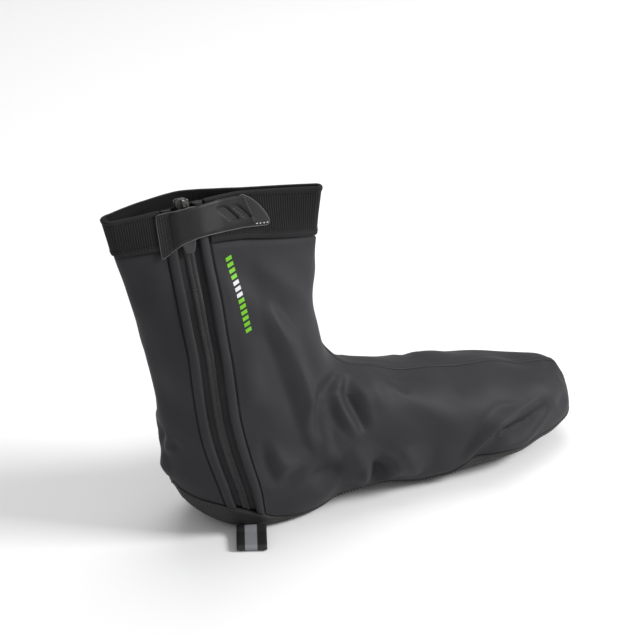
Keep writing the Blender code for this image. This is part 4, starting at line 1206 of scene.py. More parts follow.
def make_sole():
    """Sole panel: underside, heel and toe panel with a hem along the seam."""
    side = SOLE().grid(sole_columns)
    normal = outward(side)
    lift = relief(side, size_of("crease_depth"))
    drop = seam_level(side[..., 0]) - side[..., 2]
    hem = np.interp(drop, [0, 0.0004, 0.0010, 0.0030, 0.0040, 0.0046], [-0.0004, 0.0003, 0.0007, 0.0007, 0.0001, 0.0])
    high = np.clip((side[..., 2] - floor_level(side[..., 0])) / 0.004, 0, 1)
    side[-1, :, 2] -= GAP / 2
    out = side + normal * (lift + hem * high)[..., None]
    back = side + normal * (lift - SOLE_WALL)[..., None]
    out[0, :, 2] = floor_level(out[0, :, 0])
    back[0, :, 2] = floor_level(back[0, :, 0]) + SOLE_WALL
    faces = cells(side.shape[:2], lambda j, i: True)
    ring = side.shape[1]
    edge = [(float(p[0]), float(p[1])) for p in back[0]]
    spots = list(edge)
    for x in np.arange(0.03, 0.97, 0.022) * LENGTH:
        for y in np.arange(-0.47, 0.48, 0.072) * BALL:
            if within(edge, x, y) and min(math.hypot(ax - x, ay - y) for ax, ay in edge) > 0.003:
                spots.append((float(x), float(y)))
    bounds = [(i, (i + 1) % ring) for i in range(ring)]
    found, _, triangles, _, _, _ = delaunay_2d_cdt(spots, bounds, [], 1, 1e-6)
    inside = np.array([(p.x, p.y) for p in found])[ring:]
    count = side.shape[0] * ring
    low = np.column_stack([inside, floor_level(inside[:, 0])])
    remap = list(range(ring)) + [count + i for i in range(len(inside))]
    faces += [tuple(remap[v] for v in t) for t in triangles]
    outer = np.vstack([flat_list(out), low])
    inner = np.vstack([flat_list(back), low + np.array([0, 0, SOLE_WALL])])
    # Painted shade at the seam's edge and painted highlight on the raised hem band, both weak where the upper hangs
    # over the seam.
    paint_share = seam_paint_share(side[..., 0])
    seam_shade_share = np.interp(drop, [0, 0.0004, 0.0009], [1.0, 0.6, 0.0]) * paint_share
    band = np.interp(drop, [0.0006, 0.0012, 0.0030, 0.0040], [0, 1, 1, 0]) * high * paint_share
    rest = np.zeros(len(outer) * 2 - count)
    values = {
        "groove": np.concatenate([seam_shade_share.ravel(), rest]),
        "hem": np.concatenate([band.ravel(), rest]),
    }
    made = thick("sole_shell", outer, inner, faces, [sole_fabric()], values)
    return pieces_of(made, "shoe", "sole", slot="sole_panel")


def cuff_columns(front, middle, rear, whole):
    """Places round a loop of the cuff's columns, from beside the zip's front round to its rear."""
    edge = ZIP_OPENING / 2 + 0.0078
    return np.linspace(middle + edge, middle + whole - edge, CUFF_COLUMNS)


def ribbed(made, pitch, depth):
    """Ribs across a band, raised along its stored normals by its stored mask."""
    tree = bpy.data.node_groups.new("Cuff ribs", "GeometryNodeTree")
    tree.interface.new_socket("Geometry", in_out="INPUT", socket_type="NodeSocketGeometry")
    for label, value in (("Pitch", pitch), ("Depth", depth)):
        socket = tree.interface.new_socket(label, in_out="INPUT", socket_type="NodeSocketFloat")
        socket.default_value = value
    tree.interface.new_socket("Geometry", in_out="OUTPUT", socket_type="NodeSocketGeometry")
    nodes = Nodes(tree)
    start = nodes.add("NodeGroupInput").outputs
    end = nodes.add("NodeGroupOutput")
    along = nodes.add("GeometryNodeInputNamedAttribute", {"Name": "along"}).outputs[0]
    mask = nodes.add("GeometryNodeInputNamedAttribute", {"Name": "mask"}).outputs[0]
    out = nodes.add("GeometryNodeInputNamedAttribute", {"Name": "out"}, data_type="FLOAT_VECTOR").outputs[0]
    turns = nodes.math("DIVIDE", along, start["Pitch"])
    wave = nodes.math("COSINE", nodes.math("MULTIPLY", turns, 2 * math.pi))
    crest = nodes.math("MULTIPLY", nodes.math("MULTIPLY", nodes.math("ADD", wave, 1.0), 0.5), mask)
    raised = nodes.math("MULTIPLY", crest, start["Depth"])
    push = nodes.add("ShaderNodeVectorMath", {0: out}, operation="SCALE")
    tree.links.new(raised, push.inputs["Scale"])
    moved = nodes.add("GeometryNodeSetPosition", {"Geometry": start["Geometry"], "Offset": push.outputs[0]})
    # The stored rib share also lays the painted highlight on the rib crests.
    kept = nodes.add("GeometryNodeStoreNamedAttribute", {"Geometry": moved.outputs[0], "Name": "rib", "Value": crest})
    finished = nodes.add("GeometryNodeRealizeInstances", {"Geometry": kept.outputs[0]})
    tree.links.new(finished.outputs[0], end.inputs[0])
    return settled(made, tree, {"Pitch": pitch, "Depth": depth})


def settled(made, tree, values):
    """Run a node tree on an object once and keep the plain mesh it gives."""
    modifier = made.modifiers.new("Nodes", "NODES")
    modifier.node_group = tree
    for item in tree.interface.items_tree:
        if item.in_out == "INPUT" and item.name in values:
            modifier[item.identifier] = values[item.name]
    bpy.context.view_layer.update()
    seen = made.evaluated_get(bpy.context.evaluated_depsgraph_get())
    mesh = bpy.data.meshes.new_from_object(seen)
    mesh.name = made.name
    made.modifiers.remove(modifier)
    made.data = mesh
    return made


def make_cuff():
    """Knitted elastic band with ribs, a flat border below and a rolled hem on top."""
    grid = CUFF().grid(cuff_columns)
    normal = outward(grid)
    shares = np.array(CUFF_SHARES)
    hem = 1 - HEM_HEIGHT / CUFF_HEIGHT
    rise = np.interp(shares, [0, 0.02, 0.09, 0.13, 0.16], [0.0003, 0.0007, 0.0008, 0.0003, 0.0002])
    roll = np.interp(shares, [hem - 0.03, hem - 0.005, hem + 0.03, 0.97, 0.99, 1.0], [0, -0.0002, 0.0007, 0.0008, 0.0004, 0])
    outer = CUFF_PROUD + (rise + roll)[:, None] * np.ones(grid.shape[1])
    inner = np.full(grid.shape[:2], CUFF_PROUD - CUFF_WALL)
    out = grid + normal * outer[..., None]
    back = grid + normal * inner[..., None]
    faces = cells(grid.shape[:2], lambda j, i: True, closed=False)
    run = np.cumsum(np.linalg.norm(np.diff(grid, axis=1, prepend=grid[:, :1]), axis=-1), axis=1)
    whole = run[:, -1:].mean()
    along = run / run[:, -1:] * whole
    mask = np.interp(shares, [0.13, 0.18, hem - 0.03, hem], [0, 1, 1, 0])[:, None] * np.ones(grid.shape[1])
    border = np.interp(shares, [0.0, 0.02, 0.11, 0.14], [0.6, 1, 1, 0])[:, None] * np.ones(grid.shape[1])
    border = border + np.interp(shares, [hem, 0.92, 1.0], [0, 0.8, 0.8])[:, None]
    zero = np.zeros(grid.shape[0] * grid.shape[1])
    values = {
        "along": np.concatenate([along.ravel(), along.ravel()]),
        "mask": np.concatenate([mask.ravel(), mask.ravel() * -0.4]),
        "border": np.concatenate([border.ravel(), zero]),
    }
    count = len(zero)
    solid = thick("cuff_band", flat_list(out), flat_list(back), faces, [elastic()], values)
    push = np.vstack([flat_list(normal), flat_list(normal)])
    attribute = solid.data.attributes.new("out", "FLOAT_VECTOR", "POINT")
    if len(solid.data.vertices) != 2 * count:
        raise RuntimeError("the cuff lost points")
    attribute.data.foreach_set("vector", push.astype(np.float32).ravel())
    made = ribbed(solid, size_of("rib_pitch"), size_of("rib_depth"))
    made.data.shade_smooth()
    return pieces_of(made, "shoe", "cuff", slot="elastic")


def repeat_tree():
    """Node tree that sets one rounded bead after another along a path."""
    tree = bpy.data.node_groups.get("Beads along a path")
    if tree:
        return tree
    tree = bpy.data.node_groups.new("Beads along a path", "GeometryNodeTree")
    face = tree.interface
    face.new_socket("Geometry", in_out="INPUT", socket_type="NodeSocketGeometry")
    face.new_socket("Pitch", in_out="INPUT", socket_type="NodeSocketFloat").default_value = 0.003
    face.new_socket("Size", in_out="INPUT", socket_type="NodeSocketVector")
    face.new_socket("Sides", in_out="INPUT", socket_type="NodeSocketInt").default_value = 6
    face.new_socket("Finish", in_out="INPUT", socket_type="NodeSocketMaterial")
    face.new_socket("Geometry", in_out="OUTPUT", socket_type="NodeSocketGeometry")
    nodes = Nodes(tree)
    start = nodes.add("NodeGroupInput").outputs
    end = nodes.add("NodeGroupOutput")
    line = nodes.add("GeometryNodeMeshToCurve", {"Mesh": start["Geometry"]}).outputs[0]
    places = nodes.add("GeometryNodeResampleCurve", {"Curve": line, "Length": start["Pitch"]}, mode="LENGTH")
    bead = nodes.add("GeometryNodeMeshUVSphere", {"Segments": start["Sides"], "Rings": 6, "Radius": 0.5})
    scaled = nodes.add("GeometryNodeTransform", {"Geometry": bead.outputs["Mesh"], "Scale": start["Size"]})
    out = nodes.add("GeometryNodeInputNamedAttribute", {"Name": "out"}, data_type="FLOAT_VECTOR").outputs[0]
    way = nodes.add("GeometryNodeInputTangent").outputs[0]
    turn = nodes.add(
        "FunctionNodeAxesToRotation",
        {"Primary Axis": out, "Secondary Axis": way},
        primary_axis="Z",
        secondary_axis="X",
    )
    sockets = {"Points": places.outputs[0], "Instance": scaled.outputs[0], "Rotation": turn.outputs[0]}
    beads = nodes.add("GeometryNodeInstanceOnPoints", sockets)
    real = nodes.add("GeometryNodeRealizeInstances", {"Geometry": beads.outputs[0]})
    last = nodes.add("GeometryNodeSetMaterial", {"Geometry": real.outputs[0], "Material": start["Finish"]})
    smooth = nodes.add("GeometryNodeSetShadeSmooth", {"Geometry": last.outputs[0]})
    tree.links.new(smooth.outputs[0], end.inputs[0])
    return tree


def beads(name, paths, pitch, size, finish, sides=6):
    """Beads of one size along several paths, each a list of points and their normals."""
    points, edges, normals = [], [], []
    for line, out in paths:
        first = len(points)
        points += [tuple(p) for p in np.asarray(line) - ORIGIN]
        normals += [tuple(n) for n in out]
        edges += [(first + k, first + k + 1) for k in range(len(line) - 1)]
    mesh = bpy.data.meshes.new(name)
    mesh.from_pydata(points, edges, [])
    attribute = mesh.attributes.new("out", "FLOAT_VECTOR", "POINT")
    attribute.data.foreach_set("vector", np.array(normals, np.float32).ravel())
    made = bpy.data.objects.new(name, mesh)
    bpy.context.scene.collection.objects.link(made)
    return settled(made, repeat_tree(), {"Pitch": pitch, "Size": size, "Sides": sides, "Finish": finish})


def raised_path(points, height, relieved=True):
    """Points lifted off the form by a height over the creased cloth, with their normals."""
    normal = outward(points)
    lift = relief(points, size_of("crease_depth")) if relieved else 0.0
    return points + normal * np.broadcast_to(lift + height, len(points))[:, None], normal


ZIP_ROWS = made_once(lambda: zip_rows())


def zip_rows():
    """Rows of the zip: the upper's, then a few behind the cuff up to the collar's edge."""
    rows = Rows([])
    rows.loops = BODY().loops[2:-1] + Rows(cuff_levels([0.004, 0.1, 0.25, 0.4, 0.55, 0.7, 0.85, 0.97])).loops
    return rows


def make_zip():
    """Two woven tapes and the closed coil with its teeth."""
    top = -WALL - GAP
    for name, sign, node in (("tape_front", -1, "zip_tape_front"), ("tape_rear", 1, "zip_tape_rear")):
        across = np.array([0.0005, 0.0012, 0.0022, 0.0030, 0.0034, 0.0040, 0.0052, 0.0066, 0.0080, 0.0100, 0.0125])
        places = sign * across

        def columns(front, middle, rear, whole, places=places):
            return middle + places

        grid = ZIP_ROWS().grid(columns)
        normal = outward(grid)
        lift = relief(grid, size_of("crease_depth"))
        bulge = np.interp(across, [0.0, 0.0030, 0.0036, 0.005], [0.0001, 0.0001, -0.0001, 0.0])
        out = grid + normal * (lift + top + bulge)[..., None]
        back = grid + normal * (lift + top - TAPE)[..., None]
        faces = cells(grid.shape[:2], lambda j, i: True, closed=False)
        run = np.cumsum(np.linalg.norm(np.diff(grid, axis=0, prepend=grid[:1]), axis=-1), axis=0)
        wide = np.broadcast_to(across, run.shape)
        values = {"along": np.tile(run.ravel(), 2), "across": np.tile(wide.ravel(), 2)}
        made = thick(name, flat_list(out), flat_list(back), faces, [tape_cloth()], values)
        pieces_of(made, "shoe", node, slot="zip_tape")
    core = np.array([-0.0032, -0.0026, -0.0013, 0.0, 0.0013, 0.0026, 0.0032])
    grid = ZIP_ROWS().grid(lambda front, middle, rear, whole: middle + core)
    normal = outward(grid)
    lift = relief(grid, size_of("crease_depth"))
    swell = np.array([0.0, 0.0005, 0.0007, 0.0005, 0.0007, 0.0005, 0.0])
    out = grid + normal * (lift - WALL + swell)[..., None]
    back = grid + normal * (lift - WALL - GAP)[..., None]
    faces = cells(grid.shape[:2], lambda j, i: True, closed=False)
    made = thick("coil_core", flat_list(out), flat_list(back), faces, [coil_plastic()])
    pieces_of(made, "shoe", slot="zip_coil")
    paths = []
    for sign in (-1, 1):
        line, normal = raised_path(ZIP_ROWS().trail(1, sign * 0.00150), -WALL + 0.00050)
        shift = 2 if sign > 0 else 0
        paths.append((line[shift:], normal[shift:]))
    pitch = size_of("tooth_pitch")
    made = beads("coil_teeth", paths, pitch, (pitch * 0.72, 0.0031, 0.0014), coil_plastic(), sides=8)
    pieces_of(made, "shoe", "zip_coil", slot="zip_coil")


def seam_trail(rows, aside, first=0, last=None, mark=0, height=0.0):
    """Path along the rows beside a landmark, lifted over the creased cloth."""
    line = rows.trail(mark, aside)[first:last]
    return raised_path(line, height)


def make_stitches():
    """Stitches of the front seam, the welts, the sole's seam and the cuff's border."""
    pitch = size_of("stitch_pitch")
    body = BODY()
    seam = [seam_trail(body, SEAM_WIDTH * 0.50, 3, None, 0, -0.0001)]
    made = beads("front_seam_stitches", seam, pitch, (pitch * 0.66, 0.0006, 0.0005), dark_thread())
    pieces_of(made, "shoe", slot="softshell")
    edge = ZIP_OPENING / 2 + 0.0070
    welts = [seam_trail(body, sign * edge, 2, None, 1, -0.0002) for sign in (-1, 1)]
    made = beads("welt_stitches", welts, pitch, (pitch * 0.66, 0.00055, 0.00045), dark_thread())
    pieces_of(made, "shoe", slot="softshell")
    row = SOLE().grid(sole_columns)[-5]
    ring = np.vstack([row, row[:1]])
    line = [raised_path(ring, 0.00075)]
    made = beads("sole_seam_stitches", line, pitch, (pitch * 0.66, 0.0006, 0.0005), dark_thread())
    pieces_of(made, "shoe", slot="sole_panel")
    grid = CUFF().grid(cuff_columns)
    rows = [3, 5]
    lines = [raised_path(grid[j][4:-4:3], CUFF_PROUD + 0.0008, False) for j in rows]
    hem = raised_path(grid[CUFF_SHARES.index(0.90)][4:-4:3], CUFF_PROUD + 0.0006, False)
    made = beads("cuff_stitches", lines + [hem], pitch * 0.8, (pitch * 0.5, 0.00055, 0.0005), thread())
    pieces_of(made, "shoe", slot="elastic")


class Band:
    """The form round the collar, unrolled: ahead of the zip's middle and down from the edge."""

    def __init__(self, steps=17):
        self.shares = np.linspace(-0.15, 1.4, steps)
        self.loops = []
        for share in self.shares:

            def level(x, share=share):
                return collar_level(x) - CUFF_HEIGHT * share

            loop = loop_on(level, *collar_middle())
            run, _, middle, _ = landmarks(loop)
            self.loops.append((loop, run, middle))

    def at(self, ahead, down):
        """Point of the form at a distance ahead of the zip and down from the collar's edge."""
        place = np.clip(down / CUFF_HEIGHT, self.shares[0], self.shares[-1]) - self.shares[0]
        place = place / (self.shares[1] - self.shares[0])
        k = int(min(place, len(self.shares) - 2))
        part = place - k
        ends = []
        for loop, run, middle in self.loops[k : k + 2]:
            ends.append(on_loop(loop, run, np.array([middle - ahead]))[0])
        return ends[0] * (1 - part) + ends[1] * part


BAND = made_once(Band)


def tab_point(share, down):
    """A point of the tab's outline in metres ahead of the zip and down from the edge."""
    return (share * (TAB_REACH if share > 0 else TAB_BASE), down * CUFF_HEIGHT)


def tab_height(ahead):
    """How far the tab's inner face stands off the form: low on the cuff, arched at the zip."""
    seat = CUFF_PROUD + HEM_PROUD + 2 * GAP
    knots = [-TAB_BASE, -TAB_BASE * 0.62, -ZIP_OPENING * 0.35, ZIP_OPENING * 0.5, ZIP_OPENING * 1.7]
    share = np.interp(ahead, knots, [0, 0.25, 1, 1, 0])
    return seat + (TAB_ARCH - seat) * share * share * (3 - 2 * share)


def rounded(outline, rounds=2, keep=0.25):
    """Closed outline with its corners cut round."""
    ring = np.array(outline, float)
    for _ in range(rounds):
        after = np.roll(ring, -1, axis=0)
        gap = np.linalg.norm(after - ring, axis=1, keepdims=True)
        cut = np.minimum(keep, 0.0012 / np.maximum(gap, 1e-9))
        ring = np.stack([ring + (after - ring) * cut, after - (after - ring) * cut], axis=1).reshape(-1, 2)
    return [tuple(p) for p in ring]


def plate_faces(outline, holes, step):
    """Triangles of a flat outline with holes and inner points a step apart, and their points."""
    points = []
    bounds = []
    for ring in [outline] + holes:
        start = len(points)
        ring_points = []
        for (ax, ay), (bx, by) in zip(ring, ring[1:] + ring[:1]):
            count = max(1, int(math.hypot(bx - ax, by - ay) / step))
            ring_points += [(ax + (bx - ax) * k / count, ay + (by - ay) * k / count) for k in range(count)]
        points += ring_points
        bounds += [(start + k, start + (k + 1) % len(ring_points)) for k in range(len(ring_points))]
    rim = np.array(points)
    xs = [p[0] for p in outline]
    ys = [p[1] for p in outline]
    for x in np.arange(min(xs) + step / 2, max(xs), step):
        for y in np.arange(min(ys) + step / 2, max(ys), step):
            near = np.hypot(rim[:, 0] - x, rim[:, 1] - y).min()
            in_hole = any(within(hole, x, y) for hole in holes)
            if near > step * 0.45 and within(outline, x, y) and not in_hole:
                points.append((float(x), float(y)))
    spots, _, triangles, _, _, _ = delaunay_2d_cdt(points, bounds, [], 1, 1e-7)
    spots = [(p.x, p.y) for p in spots]
    kept = []
    for t in triangles:
        x = sum(spots[v][0] for v in t) / 3
        y = sum(spots[v][1] for v in t) / 3
        if not any(within(hole, x, y) for hole in holes):
            kept.append(tuple(t))
    return np.array(spots), kept, len(rim)


def over_band(spots, height):
    """Points over the band's form at heights, with their normals."""
    seats = np.array([BAND().at(x, y) for x, y in spots])
    normal = outward(seats)
    lift = np.array([tab_height(x) for x, _ in spots]) + height
    return seats + normal * lift[:, None], normal


def edge_drop(spots, rings, reach, depth):
    """How far a plate's face drops towards its edges, so that they look turned in."""
    drop = np.zeros(len(spots))
    gap = np.full(len(spots), 1.0)
    for ring in rings:
        path = np.array(ring + ring[:1])
        near, _ = near_path(spots, path)
        gap = np.minimum(gap, near)
    share = np.clip(gap / reach, 0, 1)
    drop = depth * (1 - np.sqrt(1 - (1 - share) ** 2))
    return drop


def make_tab():
    """Closure tab: ribbed mesh, smooth overlay with two windows, piped edges and stitches."""
    outline = rounded([tab_point(*p) for p in TAB_OUTLINE])
    spots, faces, _ = plate_faces(outline, [], 0.0009)
    slant = (spots[:, 0] + spots[:, 1] * 0.42) / 0.0013
    ribs = 0.5 + 0.5 * np.cos(slant * 2 * math.pi)
    shade = edge_drop(spots, [outline], 0.0009, 1.0)
    top = TAB_BACKING + 0.00022 * ribs * (1 - shade) - 0.0003 * shade
    out, _ = over_band(spots, top)
    back, _ = over_band(spots, 0.0)
    # The rib values lay a painted highlight on the rib crests, fading out towards the edges.
    values = {"rib": np.concatenate([ribs * (1 - shade), ribs * 0])}
    made = thick("tab_backing", out, back, faces, [tab_mesh()], values)
    pieces_of(made, "shoe", "closure_tab", slot="tab_backing")

    inset = OVERLAY_INSET
    high = outline[0][1] + inset
    high = tab_point(*TAB_OUTLINE[0])[1] + inset
    end = [tab_point(*p) for p in OVERLAY_END]
    start = OVERLAY_START * TAB_BASE
    foot_ = [tab_point(*p) for p in TAB_OUTLINE[8:11]]
    cover = [(start, high), (end[0][0], high), (end[1][0], end[1][1] - inset)]
    cover += [(x, y - inset) for x, y in foot_[:2]]
    cover += [(start, foot_[2][1] - inset)]
    cover = rounded(cover, 1)
    holes = [rounded([tab_point(*p) for p in window], 1) for window in WINDOWS]
    spots, faces, _ = plate_faces(cover, holes, 0.0010)
    low = TAB_BACKING + GAP
    drop = edge_drop(spots, [cover] + holes, 0.0006, 0.00035)
    out, _ = over_band(spots, low + TAB_OVERLAY - drop)
    back, _ = over_band(spots, low - 0.0001)
    made = thick("tab_cover", out, back, faces, [overlay_coat()])
    pieces_of(made, "shoe", "tab_overlay", slot="tab_overlay")

    long_edge = outline[1:] + outline[:1]
    made = tube("tab_piping", [tuple(p) for p in long_edge], 0.00038, TAB_BACKING * 0.65, piping())
    pieces_of(made, "shoe", slot="tab_backing")
    frames = []
    for hole in holes:
        ring = np.array(hole + hole[:1])
        middle = ring[:-1].mean(axis=0)
        wider = middle + (ring - middle) * (1 + 0.0009 / np.linalg.norm(ring - middle, axis=1, keepdims=True))
        line, normal = over_band(dense(wider, 0.0006), low + TAB_OVERLAY)
        frames.append((line, normal))
    end_line = dense(np.array([(end[0][0] - 0.0014, high + 0.0006), (end[1][0] - 0.0014, end[1][1] - 2 * inset)]), 0.0006)
    frames.append(over_band(end_line, low + TAB_OVERLAY))
    made = beads("tab_stitches", frames, 0.0019, (0.0013, 0.0004, 0.00035), dark_thread())
    pieces_of(made, "shoe", slot="tab_overlay")
    bars = []
    for share in (-0.95, -0.86, -0.77, -0.68):
        x = share * TAB_BASE
        base = np.array([(x, 0.09 * CUFF_HEIGHT), (x, (1.04 + (share + 0.95) * -0.25) * CUFF_HEIGHT)])
        bars.append(over_band(dense(base, 0.0006), TAB_BACKING + 0.0003))
    made = beads("tab_base_stitches", bars, 0.0012, (0.0012, 0.0008, 0.0006), thread())
    pieces_of(made, "shoe", slot="tab_backing")
    tip = [tab_point(*p) for p in ((0.84, 0.735), (0.90, 0.735), (0.965, 0.73))]
    line = over_band(dense(np.array(tip), 0.0005), TAB_BACKING + 0.0003)
    made = beads("tab_tip_stitches", [line], 0.0018, (0.0014, 0.0007, 0.0005), white_print())
    pieces_of(made, "shoe", slot="tab_backing")


def dense(path, step):
    """Path with points at most a step apart."""
    path = np.asarray(path, float)
    made = [path[:1]]
    for a, b in zip(path[:-1], path[1:]):
        count = max(1, math.ceil(np.linalg.norm(b - a) / step))
        made.append(a + (b - a) * (np.arange(1, count + 1) / count)[:, None])
    return np.vstack(made)


def tube(name, flat_ring, radius, height, finish, sides=8):
    """Closed tube over the band along a flat ring."""
    ring = dense(np.array(flat_ring + flat_ring[:1]), 0.0012)[:-1]
    line, normal = over_band(ring, height)
    way = np.roll(line, -1, axis=0) - np.roll(line, 1, axis=0)
    way /= np.linalg.norm(way, axis=1, keepdims=True)
    aside = np.cross(way, normal)
    angle = np.linspace(0, 2 * math.pi, sides, endpoint=False)
    rows = [line + normal * (radius * math.sin(a)) + aside * (radius * math.cos(a)) for a in angle]
    grid = np.stack(rows, axis=1)
    count = len(line)
    faces = []
    for j in range(count):
        n = (j + 1) % count
        for i in range(sides):
            k = (i + 1) % sides
            faces.append((j * sides + i, j * sides + k, n * sides + k, n * sides + i))
    mesh = plain_mesh(name, flat_list(grid), faces, [finish])
    return tidy_mesh(name, mesh)


def zip_frame():
    """Place and directions at the top of the zip: forward, up the wall and outward."""
    band = BAND()
    top = band.at(0.0, 0.0)
    low = band.at(0.0, CUFF_HEIGHT)
    up = (top - low) / np.linalg.norm(top - low)
    ahead = band.at(ZIP_OPENING / 3, CUFF_HEIGHT / 2) - band.at(-ZIP_OPENING / 3, CUFF_HEIGHT / 2)
    ahead -= up * ahead.dot(up)
    ahead /= np.linalg.norm(ahead)
    out = np.cross(ahead, up)
    if out.dot(outward((top + low)[None] / 2)[0]) < 0:
        out = -out
    return top, ahead, up, out


# Slider and puller as the solids have them
SLIDER_WIDTH = 0.0086
SLIDER_LENGTH = 0.0100
SLIDER_PLATE = 0.0011
BAIL_WIDTH = 0.0018
BAIL_BAR = 0.0011
PULLER_LENGTH = 0.0320
PULLER_WIDTH = 0.0104
PULLER_NECK = 0.0074
PULLER_TIP = 0.0062
PULLER_THICK = 0.0016
PIVOT_UP = 0.0012
PULLER_LEAN = math.radians(1.6)


def block(name, frame_, outline, low, high, finish, width, segments=3):
    """Prism of an outline in two of a frame's directions, with its edges rounded."""
    top, first, second, third = frame_
    base = [top + first * u + second * v for u, v in outline]
    count = len(base)
    points = [p + third * low for p in base] + [p + third * high for p in base]
    faces = [tuple(range(count)), tuple(range(2 * count - 1, count - 1, -1))]
    for k in range(count):
        n = (k + 1) % count
        faces.append((k, n, n + count, k + count))
    made = tidy_mesh(name, plain_mesh(name, points, faces, [finish]), smooth=False)
    rounding = made.modifiers.new("Rounding", "BEVEL")
    rounding.width = width
    rounding.segments = segments
    rounding.limit_method = "ANGLE"
    rounding.angle_limit = math.radians(25)
    bpy.context.view_layer.update()
    seen = made.evaluated_get(bpy.context.evaluated_depsgraph_get())
    mesh = bpy.data.meshes.new_from_object(seen)
    made.modifiers.clear()
    made.data = mesh
    mesh.shade_smooth()
    mesh.set_sharp_from_angle(angle=math.radians(35))
    return made


def joined(name, parts):
    """Several objects made one, which keeps the first one's name."""
    mesh = bpy.data.meshes.new(name)
    work = bmesh.new()
    for part in parts:
        work.from_mesh(part.data)
    work.to_mesh(mesh)
    work.free()
    for finish in parts[0].data.materials:
        mesh.materials.append(finish)
    mesh.shade_smooth()
    mesh.set_sharp_from_angle(angle=math.radians(35))
    for part in parts:
        bpy.data.objects.remove(part, do_unlink=True)
    made = bpy.data.objects.new(name, mesh)
    bpy.context.scene.collection.objects.link(made)
    return made


def make_slider():
    """Metal slider with flared plates and a bail, and its rubber puller."""
    top, ahead, up, out = zip_frame()
    above = 0.0040
    face = COIL_HEIGHT - WALL + GAP
    back = -WALL - TAPE - 4 * GAP
    half = SLIDER_WIDTH / 2
    low_end = above - SLIDER_LENGTH
    plate = [
        (-half * 0.62, low_end),
        (half * 0.62, low_end),
        (half * 0.70, low_end + 0.002),
        (half, above - 0.0030),
        (half, above - 0.0010),
        (half * 0.55, above),
        (-half * 0.55, above),
        (-half, above - 0.0010),
        (-half, above - 0.0030),
        (-half * 0.70, low_end + 0.002),
    ]
    flat = (top, ahead, up, out)
    side = (top, up, out, ahead)
    parts = [block("plate_out", flat, plate, face, face + SLIDER_PLATE, slider_metal(), 0.00030)]
    parts.append(block("plate_back", flat, plate, back - SLIDER_PLATE, back, slider_metal(), 0.00030))
    post = [(-0.0012, GAP * 4), (0.0012, GAP * 4), (0.0018, above), (-0.0018, above)]
    parts.append(block("post", flat, post, back - SLIDER_PLATE / 2, face + SLIDER_PLATE / 2, slider_metal(), 0.0002))
    low = face + SLIDER_PLATE
    room = PULLER_THICK + 4 * GAP
    reach = 0.0019
    bar = BAIL_BAR
    sink = SLIDER_PLATE / 2
    arch = [
        (PIVOT_UP - reach - bar, low - sink),
        (PIVOT_UP - reach, low - sink),
        (PIVOT_UP - reach, low + room * 0.7),
        (PIVOT_UP - reach + bar * 0.5, low + room),
        (PIVOT_UP + reach - bar * 0.8, low + room),
        (PIVOT_UP + reach - bar * 0.4, low + room * 0.7),
        (PIVOT_UP + reach - bar * 0.4, low - sink),
        (PIVOT_UP + reach + bar * 0.6, low - sink),
        (PIVOT_UP + reach + bar * 0.6, low + room * 0.85),
        (PIVOT_UP + reach - bar * 0.3, low + room + bar),
        (PIVOT_UP - reach, low + room + bar),
        (PIVOT_UP - reach - bar, low + room * 0.85),
    ]
    parts.append(block("bail", side, arch, -BAIL_WIDTH / 2, BAIL_WIDTH / 2, slider_metal(), 0.00025))
    pieces_of(joined("slider_body", parts), "shoe", "zip_slider", slot="slider_metal")

    down = -up * math.cos(PULLER_LEAN) - out * math.sin(PULLER_LEAN)
    front = out * math.cos(PULLER_LEAN) - up * math.sin(PULLER_LEAN)
    pivot = top + up * PIVOT_UP + out * (low + GAP + PULLER_THICK / 2)
    neck, wide, tip = PULLER_NECK / 2, PULLER_WIDTH / 2, PULLER_TIP / 2
    bar = 0.0008
    outline = [
        (-neck, -bar),
        (neck, -bar),
        (neck, 0.20 * PULLER_LENGTH),
        (wide, 0.30 * PULLER_LENGTH),
        (wide, 0.70 * PULLER_LENGTH),
        (tip, PULLER_LENGTH),
        (-tip, PULLER_LENGTH),
        (-wide, 0.70 * PULLER_LENGTH),
        (-wide, 0.30 * PULLER_LENGTH),
        (-neck, 0.20 * PULLER_LENGTH),
    ]
    outline = rounded(outline, 2, 0.3)
    hole_half = BAIL_WIDTH / 2 + 2 * GAP
    hole = [(-hole_half, bar), (hole_half, bar), (hole_half, 0.0046), (-hole_half, 0.0046)]
    spots, faces, _ = plate_faces(outline, [hole], 0.0008)
    inset = edge_drop(spots, [outline, hole], 0.0006, 0.0005)
    grip = np.clip((spots[:, 1] / PULLER_LENGTH - 0.36) / 0.05, 0, 1) * np.clip((0.93 - spots[:, 1] / PULLER_LENGTH) / 0.05, 0, 1)
    sunk = 0.00022 * grip * np.clip(edge_drop(spots, [outline], 0.0016, 1.0) < 0.02, 0, 1)
    base = pivot + spots[:, :1] * ahead + spots[:, 1:] * down
    thickness = PULLER_THICK / 2 - inset - sunk
    made = thick(
        "puller_tab",
        base + front * thickness[:, None],
        base - front * (PULLER_THICK / 2 - inset)[:, None],
        faces,
        [puller_rubber()],
    )
    pieces_of(made, "puller", "zip_puller", slot="puller_rubber")


